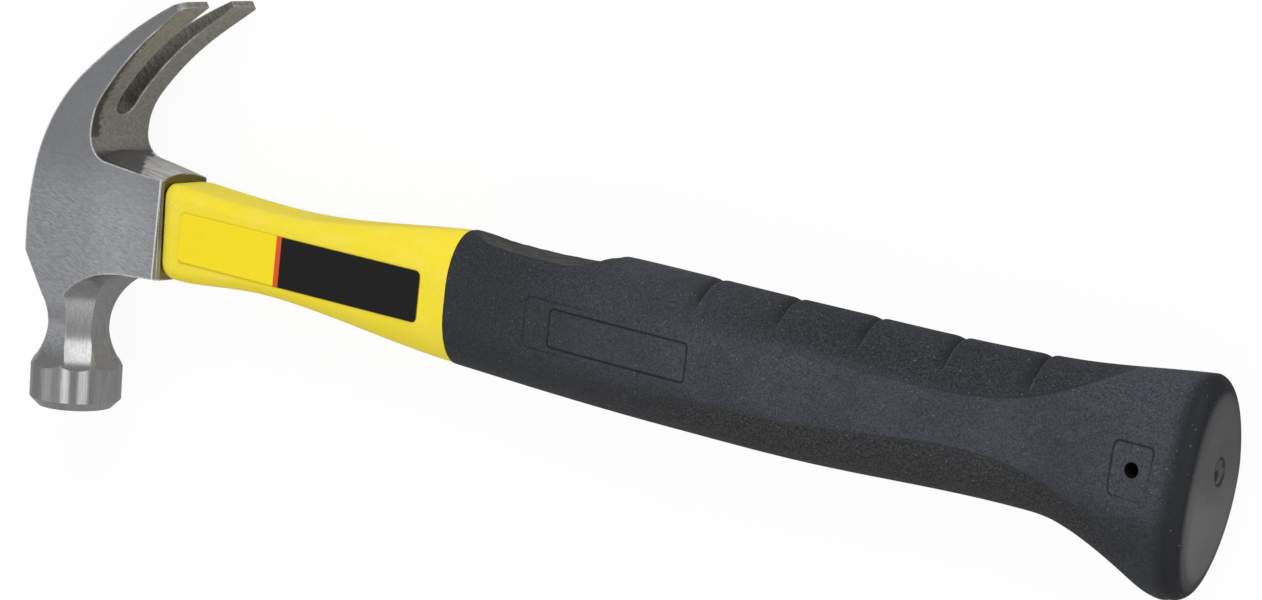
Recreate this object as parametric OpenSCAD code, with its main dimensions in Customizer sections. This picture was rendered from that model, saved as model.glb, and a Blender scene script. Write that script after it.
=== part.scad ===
// Curved claw hammer: a forged steel head bonded to a fibreglass handle with a moulded grip.
// It lies on its side: +X runs from the head to the butt, +Y points to the claws, +Z is up.
// Inside each module the poll's axis and the handle's axis cross at the origin.

/* [Poll and neck] */
// Angle of the head off square to the handle
head_cant = 2.9; // [0:0.1:5]
// Diameter of the poll
poll_d = 21; // [20:0.5:24]
// Length of the poll's straight land
poll_land = 8.8; // [6:0.1:12]
// Bevel round the striking face
poll_bevel = 2; // [1:0.1:3]
// Distance from the handle's axis down to the neck's waist
waist_drop = 28.2; // [27:0.1:31]
// Height of the neck's waist over the poll's rim
waist_rise = 8.3; // [7:0.1:9]
// Size of the eight-sided waist across its flats
neck_flats = 13.9; // [13:0.1:15]
// Radius of the scoops between poll and cheeks
scoop_r = 14.7; // [13.5:0.1:16]
// Extra radius of the round stock over the waist's corners
neck_stock = 0.08; // [0.02:0.02:0.4]
// Radius of the round stock's hollow above the poll
stock_r = 16; // [14:0.5:20]
// Lean of the scoops' straight run at the back of the head
back_lean = 24; // [18:1:30]

/* [Eye block] */
// Thickness of the head at the cheeks
head_t = 18.5; // [17.5:0.1:20.5]
// Distance from the poll's axis to the back of the head
head_back = 9.1; // [8.5:0.1:10.5]
// Distance from the poll's axis to the mouth of the eye
block_reach = 31; // [28:0.5:34]
// Thickness of the head at the mouth of the eye
block_end_t = 14.6; // [14:0.1:17]
// Length of straight cheek before the block narrows
cheek_run = 9; // [6:0.5:10]
// Height of the block's edge over the handle's axis at the mouth
block_up = 8.9; // [8.2:0.1:11]
// Slope of the block's top towards the claws
block_slope = 8.7; // [4:0.1:12]
// Crown on top of the block
block_crown = 1.4; // [0.8:0.1:2]
// Bevel on the mouth's side edges
mouth_bevel = 0.5; // [0.4:0.1:1.2]
// Width of the eye across the head
eye_w = 11.4; // [10.8:0.1:12]
// Depth of the eye along the poll's axis
eye_h = 18.6; // [18:0.1:19.2]
// Corner radius of the eye
eye_corner = 3; // [2:0.1:4]
// Depth of the bond below the back of the head
bond_recess = 2.5; // [2.2:0.1:5]

/* [Claws] */
// Height on the head's back where its curve starts, below the handle's axis
back_foot = 10; // [8:0.5:12]
// Radius of the back's first curve
back_r = 82; // [70:1:100]
// Turn of the back's first curve
back_turn = 12; // [8:0.5:15]
// Radius of the main bend on the outside
bend_r = 40; // [37:0.5:44]
// Turn of the main bend on the outside
bend_turn = 38; // [33:0.5:42]
// Distance from the poll's axis to the claws' inner face at the crotch
crotch_x = 10; // [8.5:0.1:11]
// Fillet radius in the crotch
crotch_r = 5.5; // [4:0.1:7]
// Radius of the inner bend
inner_r = 14.5; // [13:0.1:16]
// Turn of the inner bend
inner_turn = 38; // [34:0.5:42]
// Radius of the inner sweep to the tips
sweep_r = 80; // [65:1:95]
// Turn of the inner sweep
sweep_turn = 17; // [13:0.5:19]
// Straight length at the tips
tip_run = 11; // [8:0.5:13]
// Thickness of the tips
tip_t = 1.5; // [1:0.1:2.2]
// Height over the handle's axis where the claws begin to splay
splay_from = 13.5; // [10:0.5:18]
// Radius of the splay on each side
splay_r = 185; // [150:5:260]
// Corner radius of the tips
tip_corner = 3; // [1:0.1:3.2]
// Turn along the inner bend where the nail slot starts
slot_turn = 18; // [15:1:30]
// Width of the nail slot at its root
slot_root_w = 6.4; // [5.4:0.1:7.4]
// Width of the nail slot at the tips
slot_tip_w = 8.2; // [7.4:0.1:9.4]

/* [Core rod] */
// Thickness of the fibreglass rod across the handle
rod_w = 7.6; // [6.4:0.1:8.4]
// Depth of the fibreglass rod
rod_h = 13.2; // [11:0.1:14.4]
// Corner radius of the rod
rod_corner = 2; // [1:0.1:3]
// Distance from the rod's end to the butt
rod_short = 33; // [28:0.5:50]

/* [Jacket] */
// Thickness of the jacket across its flat sides
jacket_t = 15.2; // [14.4:0.1:15.6]
// Depth of the jacket's spigot in the eye
spigot_len = 6; // [4:0.5:9]
// Clearance of the spigot in the eye
spigot_gap = 0.2; // [0.1:0.05:0.4]
// Distance from the mouth to where the jacket leaves the spigot's size
spigot_lead = 1; // [0.8:0.1:2]
// Length of the flare on the jacket's sides
flare_len = 5; // [4:0.5:8]
// Length of the flare on top
flare_top = 2.8; // [2:0.1:5]
// Length of the flare on the underside
flare_under = 6.5; // [5:0.5:10]
// Jacket's top over the axis behind the flare
shoulder_up = 10.1; // [9.6:0.1:11]
// Jacket's underside below the axis behind the flare
shoulder_down = 11.2; // [9.8:0.1:11.5]
// Distance from the mouth to the jacket's waist
waist_run = 31; // [25:0.5:40]
// Jacket's top over the axis at the waist
waist_up = 9; // [8.6:0.05:10]
// Jacket's underside below the axis at the waist
waist_down = 9.4; // [9.2:0.05:10.6]
// Jacket's top over the axis where the grip starts
front_up = 14.4; // [13:0.1:15]
// Jacket's underside below the axis where the grip starts
front_down = 14.2; // [13:0.1:14.6]
// Corner radius of the jacket near the head
shoulder_corner = 3; // [2.4:0.1:3.6]
// Width of the jacket's corner curve where the grip starts
front_corner = 7; // [6:0.1:7.1]
// Height of the jacket's corner curve where the grip starts
front_round = 10.5; // [7:0.1:12]
// Thickness of the jacket's tail inside the grip
tail_w = 12.4; // [11:0.1:13]
// Depth of the jacket's tail inside the grip
tail_h = 20; // [18:0.1:22]
// Corner radius of the tail
tail_corner = 3; // [2:0.1:4]
// Wall of the tail past the rod's end
tail_wall = 4; // [2:0.5:6]

/* [Labels] */
// Distance from the side flare to the label
label_lead = 0.4; // [0.2:0.1:3]
// Length of the label
label_len = 69.5; // [60:0.5:80]
// Distance from the label to the grip
label_margin = 6.8; // [2:0.1:10]
// Height of the label
label_h = 11.2; // [8:0.1:11.4]
// Drop of the label's middle below the axis
label_drop = 0.8; // [0.2:0.1:1]
// Corner radius of the label
label_corner = 1.2; // [0.5:0.1:3]
// Thickness of the label
label_t = 0.2; // [0.1:0.05:0.4]

/* [Grip] */
// Length of the grip
grip_len = 180.3; // [173:0.1:197]
// Step from the jacket up to the grip
grip_step = 0.15; // [0.1:0.05:0.6]
// Distance from the front edge to the thumb rest's lowest point
thumb_run = 22; // [18:0.5:25]
// Grip's top over the axis at the thumb rest
thumb_up = 13.3; // [12.8:0.1:14]
// Distance from the front edge to the pad's first edge
pad_run = 39; // [36:0.5:44]
// Pad's top over the axis
pad_up = 16.1; // [15.4:0.1:17]
// Rise of the pad's front over its top
pad_rise = 0.3; // [0:0.05:0.6]
// Grip's underside below the axis at its fullest
belly_down = 15.7; // [14.8:0.1:16.5]
// Distance from the front edge to the belly
belly_run = 58; // [50:1:64]
// Length of the belly's full run
belly_len = 35; // [25:1:40]
// Thickness of the grip at its fullest
belly_t = 21.8; // [20:0.1:22.4]
// Distance from the hand hold's hollow to the butt
hollow_run = 42; // [39:0.5:47]
// Grip's underside below the axis at the hollow
hollow_down = 13.5; // [12.8:0.1:14]
// Thickness of the grip at the hollow
hollow_t = 19; // [18:0.1:20.4]
// Butt's top over the axis
butt_up = 20.4; // [18.5:0.1:22]
// Heel below the axis
heel_down = 23.5; // [21:0.1:25]
// Distance from the heel to the butt
heel_run = 6.5; // [5:0.1:8]
// Thickness of the butt
butt_t = 22.4; // [21.8:0.1:23.4]
// Radius round the butt's end face
butt_r = 3.5; // [3:0.1:5]
// Drop of the butt's top corner where it rounds over
butt_top_drop = 6; // [3:0.1:7]
// Dome of the butt's end face
butt_dome = 1; // [0.5:0.1:2]
// Set-back of the heel behind the butt's end
heel_lean = 2.2; // [0:0.1:3]
// Distance from the front edge to the first groove
groove_run = 64.6; // [60:0.1:70]
// Spacing of the grooves in the pad
groove_pitch = 19.3; // [17:0.1:20]
// Number of grooves in the pad
groove_count = 5; // [3:1:5]
// Width of a groove
groove_w = 2; // [1.2:0.1:3]
// Depth of a groove
groove_deep = 1.2; // [0.4:0.1:1.5]
// Distance from the pin hole to the butt
pin_run = 13.4; // [12.4:0.1:16]
// Height of the pin hole over the axis
pin_up = 1.3; // [0:0.1:3]
// Diameter of the pin hole
pin_d = 2.9; // [2.4:0.1:4]
// Length of the square sunk round the pin hole
square_len = 8.4; // [7:0.1:10]
// Height of the square sunk round the pin hole
square_h = 9.8; // [8:0.1:11]
// Distance between the two squares' floors
square_gap = 20.2; // [19.6:0.1:20.6]

/* [Hidden] */

$fn = 64;
arc_step = 1.4;
reach_past = 2 * block_reach;
ring_points = 10;

steel = [0.62, 0.63, 0.65];
fibreglass = [0.86, 0.84, 0.72];
epoxy = [0.42, 0.38, 0.25];
yellow = [0.95, 0.85, 0.1];
black_rubber = [0.16, 0.17, 0.18];
label_yellow = [0.97, 0.87, 0.15];

// Points along an arc that turns right by turn degrees from a start point and heading
function arc(start, heading, r, turn) =
    let (n = ceil(max(r * turn * PI / 180 / arc_step, 2)))
    [for (i = [1 : n])
        let (h = heading - turn * i / n)
        start + r * [sin(heading) - sin(h), cos(h) - cos(heading)]];

function last(list) = list[len(list) - 1];

function reversed(list) = [for (i = [len(list) - 1 : -1 : 0]) list[i]];

// Smooth curve through knots [x, value, slope], level before the first and after the last
function curve(knots, x, i = 0) =
    x <= knots[0][0] ? knots[0][1] :
    i >= len(knots) - 1 ? last(knots)[1] :
    x > knots[i + 1][0] ? curve(knots, x, i + 1) :
    let (
        a = knots[i],
        b = knots[i + 1],
        run = b[0] - a[0],
        t = (x - a[0]) / run,
        rise = 3 * t * t - 2 * t * t * t
    )
    a[1] + (b[1] - a[1]) * rise
        + a[2] * run * (t * t * t - 2 * t * t + t)
        + b[2] * run * (t * t * t - t * t);

// Places along the handle, each from the one before it
spigot_x = block_reach - spigot_len;
lead_x = block_reach + spigot_lead;
flare_x = lead_x + flare_len;
waist_x = block_reach + waist_run;
label_x = flare_x + label_lead;
grip_x = label_x + label_len + label_margin;
butt_x = grip_x + grip_len;

// Inner edge of the head: block top, crotch fillet, inner bend, sweep and straight tip
top_heading = 180 - block_slope;
fillet_x = crotch_x + crotch_r * (1 - sin(top_heading));
fillet_start = [fillet_x, block_up + (block_reach - fillet_x) * tan(block_slope)];
crotch_arc = arc(fillet_start, top_heading, crotch_r, top_heading - 90);
crotch_end = last(crotch_arc);
inner_arc = arc(crotch_end, 90, inner_r, inner_turn);
sweep_arc = arc(last(inner_arc), 90 - inner_turn, sweep_r, sweep_turn);
tip_heading = 90 - inner_turn - sweep_turn;
tip_inner = last(sweep_arc) + tip_run * [cos(tip_heading), sin(tip_heading)];
tip_outer = tip_inner + tip_t * [-sin(tip_heading), cos(tip_heading)];

// Outer edge of the head: back, main bend and the last arc that ends on the tip
back_start = [-head_back, -back_foot];
back_arc = arc(back_start, 90, back_r, back_turn);
bend_heading = 90 - back_turn - bend_turn;
bend_arc = arc(last(back_arc), 90 - back_turn, bend_r, bend_turn);
tip_chord = tip_outer - last(bend_arc);
last_turn = 2 * (bend_heading - atan2(tip_chord.y, tip_chord.x));
last_r = norm(tip_chord) / (2 * sin(last_turn / 2));
last_arc = arc(last(bend_arc), bend_heading, last_r, last_turn);

// Neck and poll levels along the poll's axis
rim_level = -waist_drop - waist_rise;
face_level = rim_level - poll_land - poll_bevel;
underside = scoop_r - waist_drop;
scoop_x = neck_flats / 2 + scoop_r;
stock_waist = neck_flats / 2 / cos(22.5) + neck_stock;

// Width of the claws at a height over the handle's axis
function claw_half(level) = head_t / 2 + splay_r - sqrt(splay_r ^ 2 - max(level - splay_from, 0) ^ 2);

// The nail slot starts square to the inner bend
slot_heading = 90 - slot_turn;
slot_root = crotch_end + inner_r * [1 - sin(slot_heading), cos(slot_heading)];
slot_len = norm(tip_inner - slot_root) + tip_t;

// Corners of the whole hammer, which set its place over the origin
back_centre = back_start + [back_r, 0];
x_low = back_centre.x * cos(head_cant) - back_centre.y * sin(head_cant) - back_r;
y_low = face_level * cos(head_cant) - (poll_d / 2 - poll_bevel) * sin(head_cant);
y_high = tip_outer.x * sin(head_cant) + tip_outer.y * cos(head_cant);
corner_level = tip_outer.y - tip_corner * sin(tip_heading);
ground = claw_half(corner_level);
home = [-(x_low + butt_x) / 2, -(y_low + y_high) / 2, ground];

// Lines of the jacket along the handle: [distance, size, slope]
spigot_half = eye_w / 2 - spigot_gap;
spigot_deep = eye_h / 2 - spigot_gap;
jacket_half = jacket_t / 2;
flare_slope = 0.5;
jacket_up = [
    [lead_x, spigot_deep, flare_slope], [lead_x + flare_top, shoulder_up, -0.06],
    [waist_x, waist_up, 0], [grip_x, front_up, 0.1]
];
jacket_down = [
    [lead_x, spigot_deep, flare_slope], [lead_x + flare_under, shoulder_down, -0.06],
    [waist_x, waist_down, 0], [grip_x, front_down, 0.06]
];
jacket_side = [[lead_x, spigot_half, flare_slope], [flare_x, jacket_half, 0]];
corner_start = [
    [lead_x, eye_corner - spigot_gap, 0], [flare_x, shoulder_corner, 0], [waist_x, shoulder_corner, 0]
];
jacket_corner = concat(corner_start, [[grip_x, front_corner, 0.1]]);
jacket_round = concat(corner_start, [[grip_x, front_round, 0.1]]);
flare_steps = 4;
jacket_steps = 12;
tail_x = butt_x - rod_short + tail_wall;
tail_overlap = 5;

// Lines of the grip along the handle: [distance, size, slope]
groove_places = [for (i = [0 : groove_count - 1]) grip_x + groove_run + i * groove_pitch];
thumb_x = grip_x + thumb_run;
pad_x = grip_x + pad_run;
belly_x = grip_x + belly_run;
hollow_x = butt_x - hollow_run;
heel_x = butt_x - heel_run;
rim_x = butt_x - butt_dome;
round_x = rim_x - butt_r;
grip_lip = 0.35;
step_run = 8.5;
step_foot = 0.3;
pad_lead = 6;
pad_tail = 27;
belly_drop = 0.25;
swell_run = 8;
swell_rise = 0.9;
heel_foot = 10;
heel_foot_drop = 0.75;
heel_lead = 11.5;
heel_lead_drop = 3.7;
heel_lift = 0.4;
cheek_back = 5;
grip_up = [
    [grip_x, front_up + grip_step, -0.08], [thumb_x, thumb_up, 0],
    [pad_x - step_run, thumb_up + step_foot, 0.12], [pad_x, pad_up, 0.1],
    [pad_x + pad_lead, pad_up + pad_rise, 0], [groove_places[1], pad_up, 0],
    [hollow_x - pad_tail, pad_up, 0],
    [hollow_x + swell_run, pad_up + swell_rise, 0.06], [round_x, butt_up, 0.1]
];
grip_down = [
    [grip_x, front_down + grip_step, 0.03], [belly_x, belly_down, 0],
    [belly_x + belly_len, belly_down - belly_drop, -0.035], [hollow_x, hollow_down, 0],
    [hollow_x + heel_foot, hollow_down + heel_foot_drop, 0.25],
    [heel_x - heel_lead, heel_down - heel_lead_drop, 0.5],
    [heel_x, heel_down, 0.05], [round_x, heel_down - heel_lift, -0.3]
];
grip_side = [
    [grip_x, jacket_half + grip_step, 0.06], [belly_x + swell_run, belly_t / 2, 0],
    [hollow_x, hollow_t / 2, 0], [round_x - cheek_back, butt_t / 2, 0]
];
// Share of the section's depth, and of its thickness, that its corner curves take
front_share = front_round / ((front_up + front_down) / 2);
thumb_share = 0.8;
belly_share = 0.88;
hollow_share = 0.92;
butt_share = 0.98;
flat_share = 0.98;
grip_round = [
    [grip_x, front_share, 0], [thumb_x, thumb_share, 0], [belly_x, belly_share, 0],
    [hollow_x, hollow_share, 0], [round_x, butt_share, 0]
];
grip_flat = [[grip_x, front_corner / jacket_half, 0], [belly_x, flat_share, 0]];
lean_rise = [[heel_x - heel_lead, 0, 0], [round_x, 1, 0]];
pin_x = butt_x - pin_run;

// Section across the handle: a rectangle with elliptical corners, as a ring of points at distance x
function ring(x, up, down, half, corner_y, corner_z) =
    let (middle = (up - down) / 2, deep = (up + down) / 2)
    [for (quarter = [0 : 3], i = [0 : ring_points - 1])
        let (
            a = 90 * (quarter + i / (ring_points - 1)),
            side = quarter == 0 || quarter == 3 ? 1 : -1,
            over = quarter < 2 ? 1 : -1
        )
        [
            x,
            middle + over * (deep - corner_y) + corner_y * sin(a),
            side * (half - corner_z) + corner_z * cos(a)
        ]];

function jacket_ring(x) =
    ring(x, curve(jacket_up, x), curve(jacket_down, x), curve(jacket_side, x),
        curve(jacket_round, x), curve(jacket_corner, x));

// The grip's section at distance x, drawn in by inset all round, pressed down by a groove on top
// and set back at the heel
function grip_ring(x, inset, press = 0, at = undef, top_inset = undef) =
    let (
        up = curve(grip_up, x) - (is_undef(top_inset) ? inset : top_inset),
        down = curve(grip_down, x) - inset,
        half = curve(grip_side, x) - inset,
        deep = (up + down) / 2,
        lean = heel_lean * curve(lean_rise, x),
        points = ring(is_undef(at) ? x : at, up, down, half,
            deep * curve(grip_round, x), half * curve(grip_flat, x))
    )
    [for (p = points)
        let (height = (p.y - (up - down) / 2) / deep)
        p - [lean * lean_share(height), press * groove_share(height), 0]];

// Share of the heel's set-back at a height from -1 below to 1 on top
lean_from = 0.3;
lean_power = 1.4;
function lean_share(height) =
    ((lean_from - min(height, lean_from)) / (1 + lean_from)) ^ lean_power;

// Share of a groove's depth at a height from -1 below to 1 on top: full on top, none on the sides
groove_low = 0.55;
groove_fade = 0.3;
function groove_share(height) =
    let (t = min(max((height - groove_low) / groove_fade, 0), 1))
    t * t * (3 - 2 * t);

// A section shrunk towards its middle, for the domed end face
function shrunk(points, share, x) =
    let (middle = (max([for (p = points) p.y]) + min([for (p = points) p.y])) / 2)
    [for (p = points) [x + (p.x - rim_x) * share ^ 2, middle + (p.y - middle) * share, p.z * share]];

swell_x = max(last(groove_places) + groove_w, hollow_x);
swell_steps = 10;
thumb_steps = 14;
round_steps = 4;
lip_share = 0.3;
dome_shares = [0.7, 0.35];

grip_rings = concat(
    [
        grip_ring(grip_x, grip_lip, at = grip_x),
        grip_ring(grip_x, grip_lip * lip_share, at = grip_x + grip_lip * lip_share)
    ],
    [for (i = [0 : thumb_steps])
        grip_ring(grip_x + grip_lip + (pad_run + pad_lead - grip_lip) * i / thumb_steps, 0)],
    [grip_ring((pad_x + pad_lead + groove_places[0]) / 2, 0)],
    [for (place = groove_places, part = [-1 : 2])
        let (x = part == 2 ? place + groove_pitch / 2 : place + part * groove_w / 2)
        if (x < swell_x) grip_ring(x, 0, part == 0 ? groove_deep : 0)],
    [for (i = [0 : swell_steps]) grip_ring(swell_x + (round_x - swell_x) * i / swell_steps, 0)],
    [for (i = [1 : round_steps])
        let (a = 90 * i / round_steps)
        grip_ring(round_x, butt_r * (1 - cos(a)), at = round_x + butt_r * sin(a),
            top_inset = butt_top_drop * (1 - cos(a)))]
);
end_ring = last(grip_rings);
grip_skin = concat(
    grip_rings,
    [for (share = dome_shares) shrunk(end_ring, share, rim_x + butt_dome * (1 - share ^ 2))]
);

// A closed skin over a row of rings, with a flat fan at the front and a point or a flat fan at the end
module skin(rings, end_x) {
    n = len(rings[0]);
    m = len(rings);
    points = [for (r = rings, p = r) p];
    front = rings[0];
    back = rings[m - 1];
    hubs = [
        [front[0].x, (front[0].y + front[n / 2].y) / 2, 0],
        [end_x, (back[0].y + back[n / 2].y) / 2, 0]
    ];
    walls = [for (j = [0 : m - 2], i = [0 : n - 1])
        let (a = j * n + i, b = j * n + (i + 1) % n)
        each [[a, b + n, a + n], [a, b, b + n]]];
    front_fan = [for (i = [0 : n - 1]) [n * m, (i + 1) % n, i]];
    back_fan = [for (i = [0 : n - 1]) [n * m + 1, (m - 1) * n + i, (m - 1) * n + (i + 1) % n]];
    polyhedron(concat(points, hubs), concat(walls, front_fan, back_fan));
}

// Flat shapes

module rounded_rectangle(size_x, size_y, corner) {
    square([size_x - 2 * corner, size_y], center = true);
    square([size_x, size_y - 2 * corner], center = true);
    for (sx = [-1, 1], sy = [-1, 1])
        translate([sx * (size_x / 2 - corner), sy * (size_y / 2 - corner)])
            circle(corner);
}

// Side view of the head above the neck's waist
module head_outline() {
    polygon(concat(
        [[-head_back, -waist_drop], back_start],
        back_arc, bend_arc, last_arc,
        [tip_inner],
        reversed(sweep_arc), reversed(inner_arc), reversed(crotch_arc),
        [
            fillet_start, [block_reach, block_up], [block_reach, underside],
            [scoop_x, underside], [scoop_x, -waist_drop]
        ]
    ));
}

// End view of the head: straight cheeks, then claws that splay on a large radius
module head_width() {
    translate([-reach_past, -head_t / 2])
        square([2 * reach_past, head_t]);
    difference() {
        translate([splay_from, -head_t])
            square([reach_past, 2 * head_t]);
        for (side = [-1, 1])
            translate([splay_from, side * (head_t / 2 + splay_r)])
                circle(splay_r, $fn = 256);
    }
}

// Scoop in the neck, drawn at its distance from the poll's axis
module scoop_outline(leans) {
    touch = [scoop_x - scoop_r * cos(back_lean), -waist_drop + scoop_r * sin(back_lean)];
    rise = scoop_r;
    translate([scoop_x, -waist_drop])
        circle(scoop_r);
    if (leans)
        polygon([
            touch, touch + [rise * tan(back_lean), rise],
            touch + [reach_past, rise], touch + [reach_past, 0]
        ]);
}

// Nail slot seen square to the claw: round at its root, wider at the tips
module slot_outline() {
    root_r = slot_root_w / 2;
    translate([root_r, 0])
        circle(root_r);
    polygon([
        [root_r, -root_r], [root_r, root_r],
        [slot_len, slot_tip_w / 2], [slot_len, -slot_tip_w / 2]
    ]);
}

// Solids

// Extrudes a flat shape along the handle, its x across the poll's axis and its y across the thickness
module along_handle(length) {
    rotate([90, 0, 90])
        linear_extrude(length)
            children();
}

// Turns a shape revolved about Z to stand along the poll's axis
module about_poll() {
    rotate([-90, 0, 0])
        rotate_extrude()
            children();
}

module poll() {
    face_r = poll_d / 2 - poll_bevel;
    about_poll()
        polygon([
            [0, face_level], [face_r, face_level], [poll_d / 2, face_level + poll_bevel],
            [poll_d / 2, rim_level], [0, rim_level]
        ]);
}

module neck_stock_solid() {
    bury = 0.5;
    about_poll()
        difference() {
            translate([0, rim_level - bury])
                square([poll_d / 2, waist_rise + bury]);
            translate([stock_waist + stock_r, -waist_drop])
                circle(stock_r);
        }
}

module upper_body() {
    intersection() {
        linear_extrude(3 * head_t, center = true)
            head_outline();
        translate([-reach_past, 0, 0])
            along_handle(2 * reach_past)
                head_width();
    }
}

// Low arched crown that runs from the mouth into the crotch
module block_crown_solid() {
    half = block_end_t / 2;
    r = (half ^ 2 + block_crown ^ 2) / (2 * block_crown);
    length = (block_reach - cheek_run) / cos(block_slope);
    bury = 1;
    translate([block_reach, block_up, 0])
        rotate([0, 0, top_heading])
            translate([-bury, 0, 0])
                along_handle(length + bury)
                    difference() {
                        translate([r - block_crown, 0])
                            circle(r);
                        translate([bury, -2 * r])
                            square([4 * r, 4 * r]);
                    }
}

module scoops() {
    for (a = [0 : 45 : 315])
        rotate([0, a, 0])
            linear_extrude(2 * reach_past, center = true)
                scoop_outline(abs(a - 180) < 90);
}

// Material taken off both cheeks so that the block narrows to its mouth on a smooth curve
module cheek_cuts() {
    run = block_reach - cheek_run;
    past = 5;
    drop = (head_t - block_end_t) / 2;
    r = (run ^ 2 + drop ^ 2) / (2 * drop);
    for (side = [0, 1])
        mirror([0, 0, side])
            translate([0, crotch_end.y, 0])
                rotate([90, 0, 0])
                    linear_extrude(reach_past)
                        difference() {
                            translate([cheek_run, 0])
                                square([run + past, head_t]);
                            translate([cheek_run, head_t / 2 - r])
                                circle(r, $fn = 256);
                        }
}

// Trims the crown square at the mouth and bevels the mouth's side edges
module mouth_cuts() {
    edge = mouth_bevel * sqrt(2);
    translate([block_reach, -reach_past / 4, -head_t])
        cube([head_t, reach_past / 2, 2 * head_t]);
    for (side = [-1, 1])
        translate([block_reach, 0, side * block_end_t / 2])
            rotate([0, 45, 0])
                cube([edge, reach_past, edge], center = true);
}

module nail_slot() {
    translate([slot_root.x, slot_root.y, 0])
        rotate([0, 0, slot_heading])
            rotate([90, 0, 0])
                linear_extrude(reach_past, center = true)
                    slot_outline();
}

// Rounds the outer corners of both tips
module tip_rounds() {
    half = claw_half(tip_outer.y);
    for (side = [0, 1])
        mirror([0, 0, side])
            translate([tip_inner.x, tip_inner.y, 0])
                rotate([0, 0, tip_heading])
                    rotate([90, 0, 0])
                        linear_extrude(6 * tip_t, center = true)
                            difference() {
                                translate([-tip_corner, half - tip_corner])
                                    square(2 * tip_corner);
                                translate([-tip_corner, half - tip_corner])
                                    circle(tip_corner);
                            }
}

// The eye runs along the handle, so it is turned back by the head's cant
module eye(length_from, length_to, gap = 0) {
    translate([length_from, 0, 0])
        along_handle(length_to - length_from)
            rounded_rectangle(eye_h - 2 * gap, eye_w - 2 * gap, eye_corner - gap);
}

module rod_bar(from_x, to_x) {
    translate([from_x, 0, 0])
        along_handle(to_x - from_x)
            rounded_rectangle(rod_h, rod_w, rod_corner);
}

module tail_bar(from_x) {
    translate([from_x, 0, 0])
        along_handle(tail_x - from_x)
            rounded_rectangle(tail_h, tail_w, tail_corner);
}

// Sub-parts

bond_x = x_low + bond_recess;
rod_end_x = butt_x - rod_short;

module head() {
    color(steel)
        translate(home)
            difference() {
                rotate([0, 0, head_cant])
                    difference() {
                        union() {
                            upper_body();
                            block_crown_solid();
                            neck_stock_solid();
                            poll();
                        }
                        scoops();
                        cheek_cuts();
                        mouth_cuts();
                        nail_slot();
                        tip_rounds();
                    }
                eye(-reach_past, reach_past);
            }
}

module core_rod() {
    color(fibreglass)
        translate(home)
            rod_bar(bond_x, rod_end_x);
}

module eye_epoxy() {
    color(epoxy)
        translate(home)
            difference() {
                eye(bond_x, spigot_x);
                rod_bar(bond_x - 1, spigot_x + 1);
            }
}

module jacket() {
    flare = [for (i = [0 : flare_steps]) jacket_ring(lead_x + flare_under * i / flare_steps)];
    from_x = lead_x + flare_under;
    rest = [for (i = [1 : jacket_steps]) jacket_ring(from_x + (grip_x - from_x) * i / jacket_steps)];
    color(yellow)
        translate(home)
            difference() {
                union() {
                    skin(concat([jacket_ring(spigot_x)], flare, rest), grip_x);
                    tail_bar(grip_x - tail_overlap);
                }
                rod_bar(spigot_x - 1, rod_end_x);
            }
}

module grip() {
    color(black_rubber)
        translate(home)
            difference() {
                skin(grip_skin, butt_x);
                tail_bar(grip_x - 1);
                translate([pin_x, pin_up, 0]) {
                    cylinder(d = pin_d, h = 2 * butt_t, center = true);
                    for (side = [0, 1])
                        mirror([0, 0, side])
                            translate([-square_len / 2, -square_h / 2, square_gap / 2])
                                cube([square_len, square_h, butt_t]);
                }
            }
}

module label(side) {
    translate(home)
        mirror([0, 0, side])
            translate([label_x + label_len / 2, -label_drop, jacket_half])
                linear_extrude(label_t)
                    rounded_rectangle(label_len, label_h, label_corner);
}

module label_front() {
    color(label_yellow)
        label(0);
}

module label_back() {
    color(label_yellow)
        label(1);
}

head();
core_rod();
eye_epoxy();
jacket();
grip();
label_front();
label_back();
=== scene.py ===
"""Looks of the curved claw hammer: smooth handle skins, materials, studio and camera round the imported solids.

Sizes are millimetres in the handle's own frame, where the poll's axis and the handle's axis cross at the
origin, +X runs to the butt, +Y to the claws and +Z up. place() carries them to the row frame in metres.
"""

import math
from types import SimpleNamespace

import bpy
import numpy as np
from mathutils import Matrix, Vector

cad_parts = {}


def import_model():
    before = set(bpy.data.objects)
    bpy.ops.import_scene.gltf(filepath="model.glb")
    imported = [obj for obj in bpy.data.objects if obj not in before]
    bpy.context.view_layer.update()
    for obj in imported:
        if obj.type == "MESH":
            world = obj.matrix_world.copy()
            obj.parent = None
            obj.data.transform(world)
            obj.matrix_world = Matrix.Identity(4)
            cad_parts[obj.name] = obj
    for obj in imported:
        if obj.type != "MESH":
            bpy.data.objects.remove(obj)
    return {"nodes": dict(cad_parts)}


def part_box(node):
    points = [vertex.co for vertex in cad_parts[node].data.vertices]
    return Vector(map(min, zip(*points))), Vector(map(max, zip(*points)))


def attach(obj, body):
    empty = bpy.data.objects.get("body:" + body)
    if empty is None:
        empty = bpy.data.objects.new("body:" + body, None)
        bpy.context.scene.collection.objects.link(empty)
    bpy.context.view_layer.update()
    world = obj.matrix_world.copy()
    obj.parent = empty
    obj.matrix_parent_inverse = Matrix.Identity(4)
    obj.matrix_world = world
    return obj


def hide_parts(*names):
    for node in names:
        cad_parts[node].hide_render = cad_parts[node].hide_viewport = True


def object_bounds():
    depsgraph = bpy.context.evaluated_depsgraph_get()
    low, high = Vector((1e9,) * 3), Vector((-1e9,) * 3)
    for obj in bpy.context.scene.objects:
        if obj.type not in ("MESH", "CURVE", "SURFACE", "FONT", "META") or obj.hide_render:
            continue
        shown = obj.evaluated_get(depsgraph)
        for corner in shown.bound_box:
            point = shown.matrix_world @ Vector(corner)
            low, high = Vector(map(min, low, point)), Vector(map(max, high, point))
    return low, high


MM = 0.001

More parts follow.
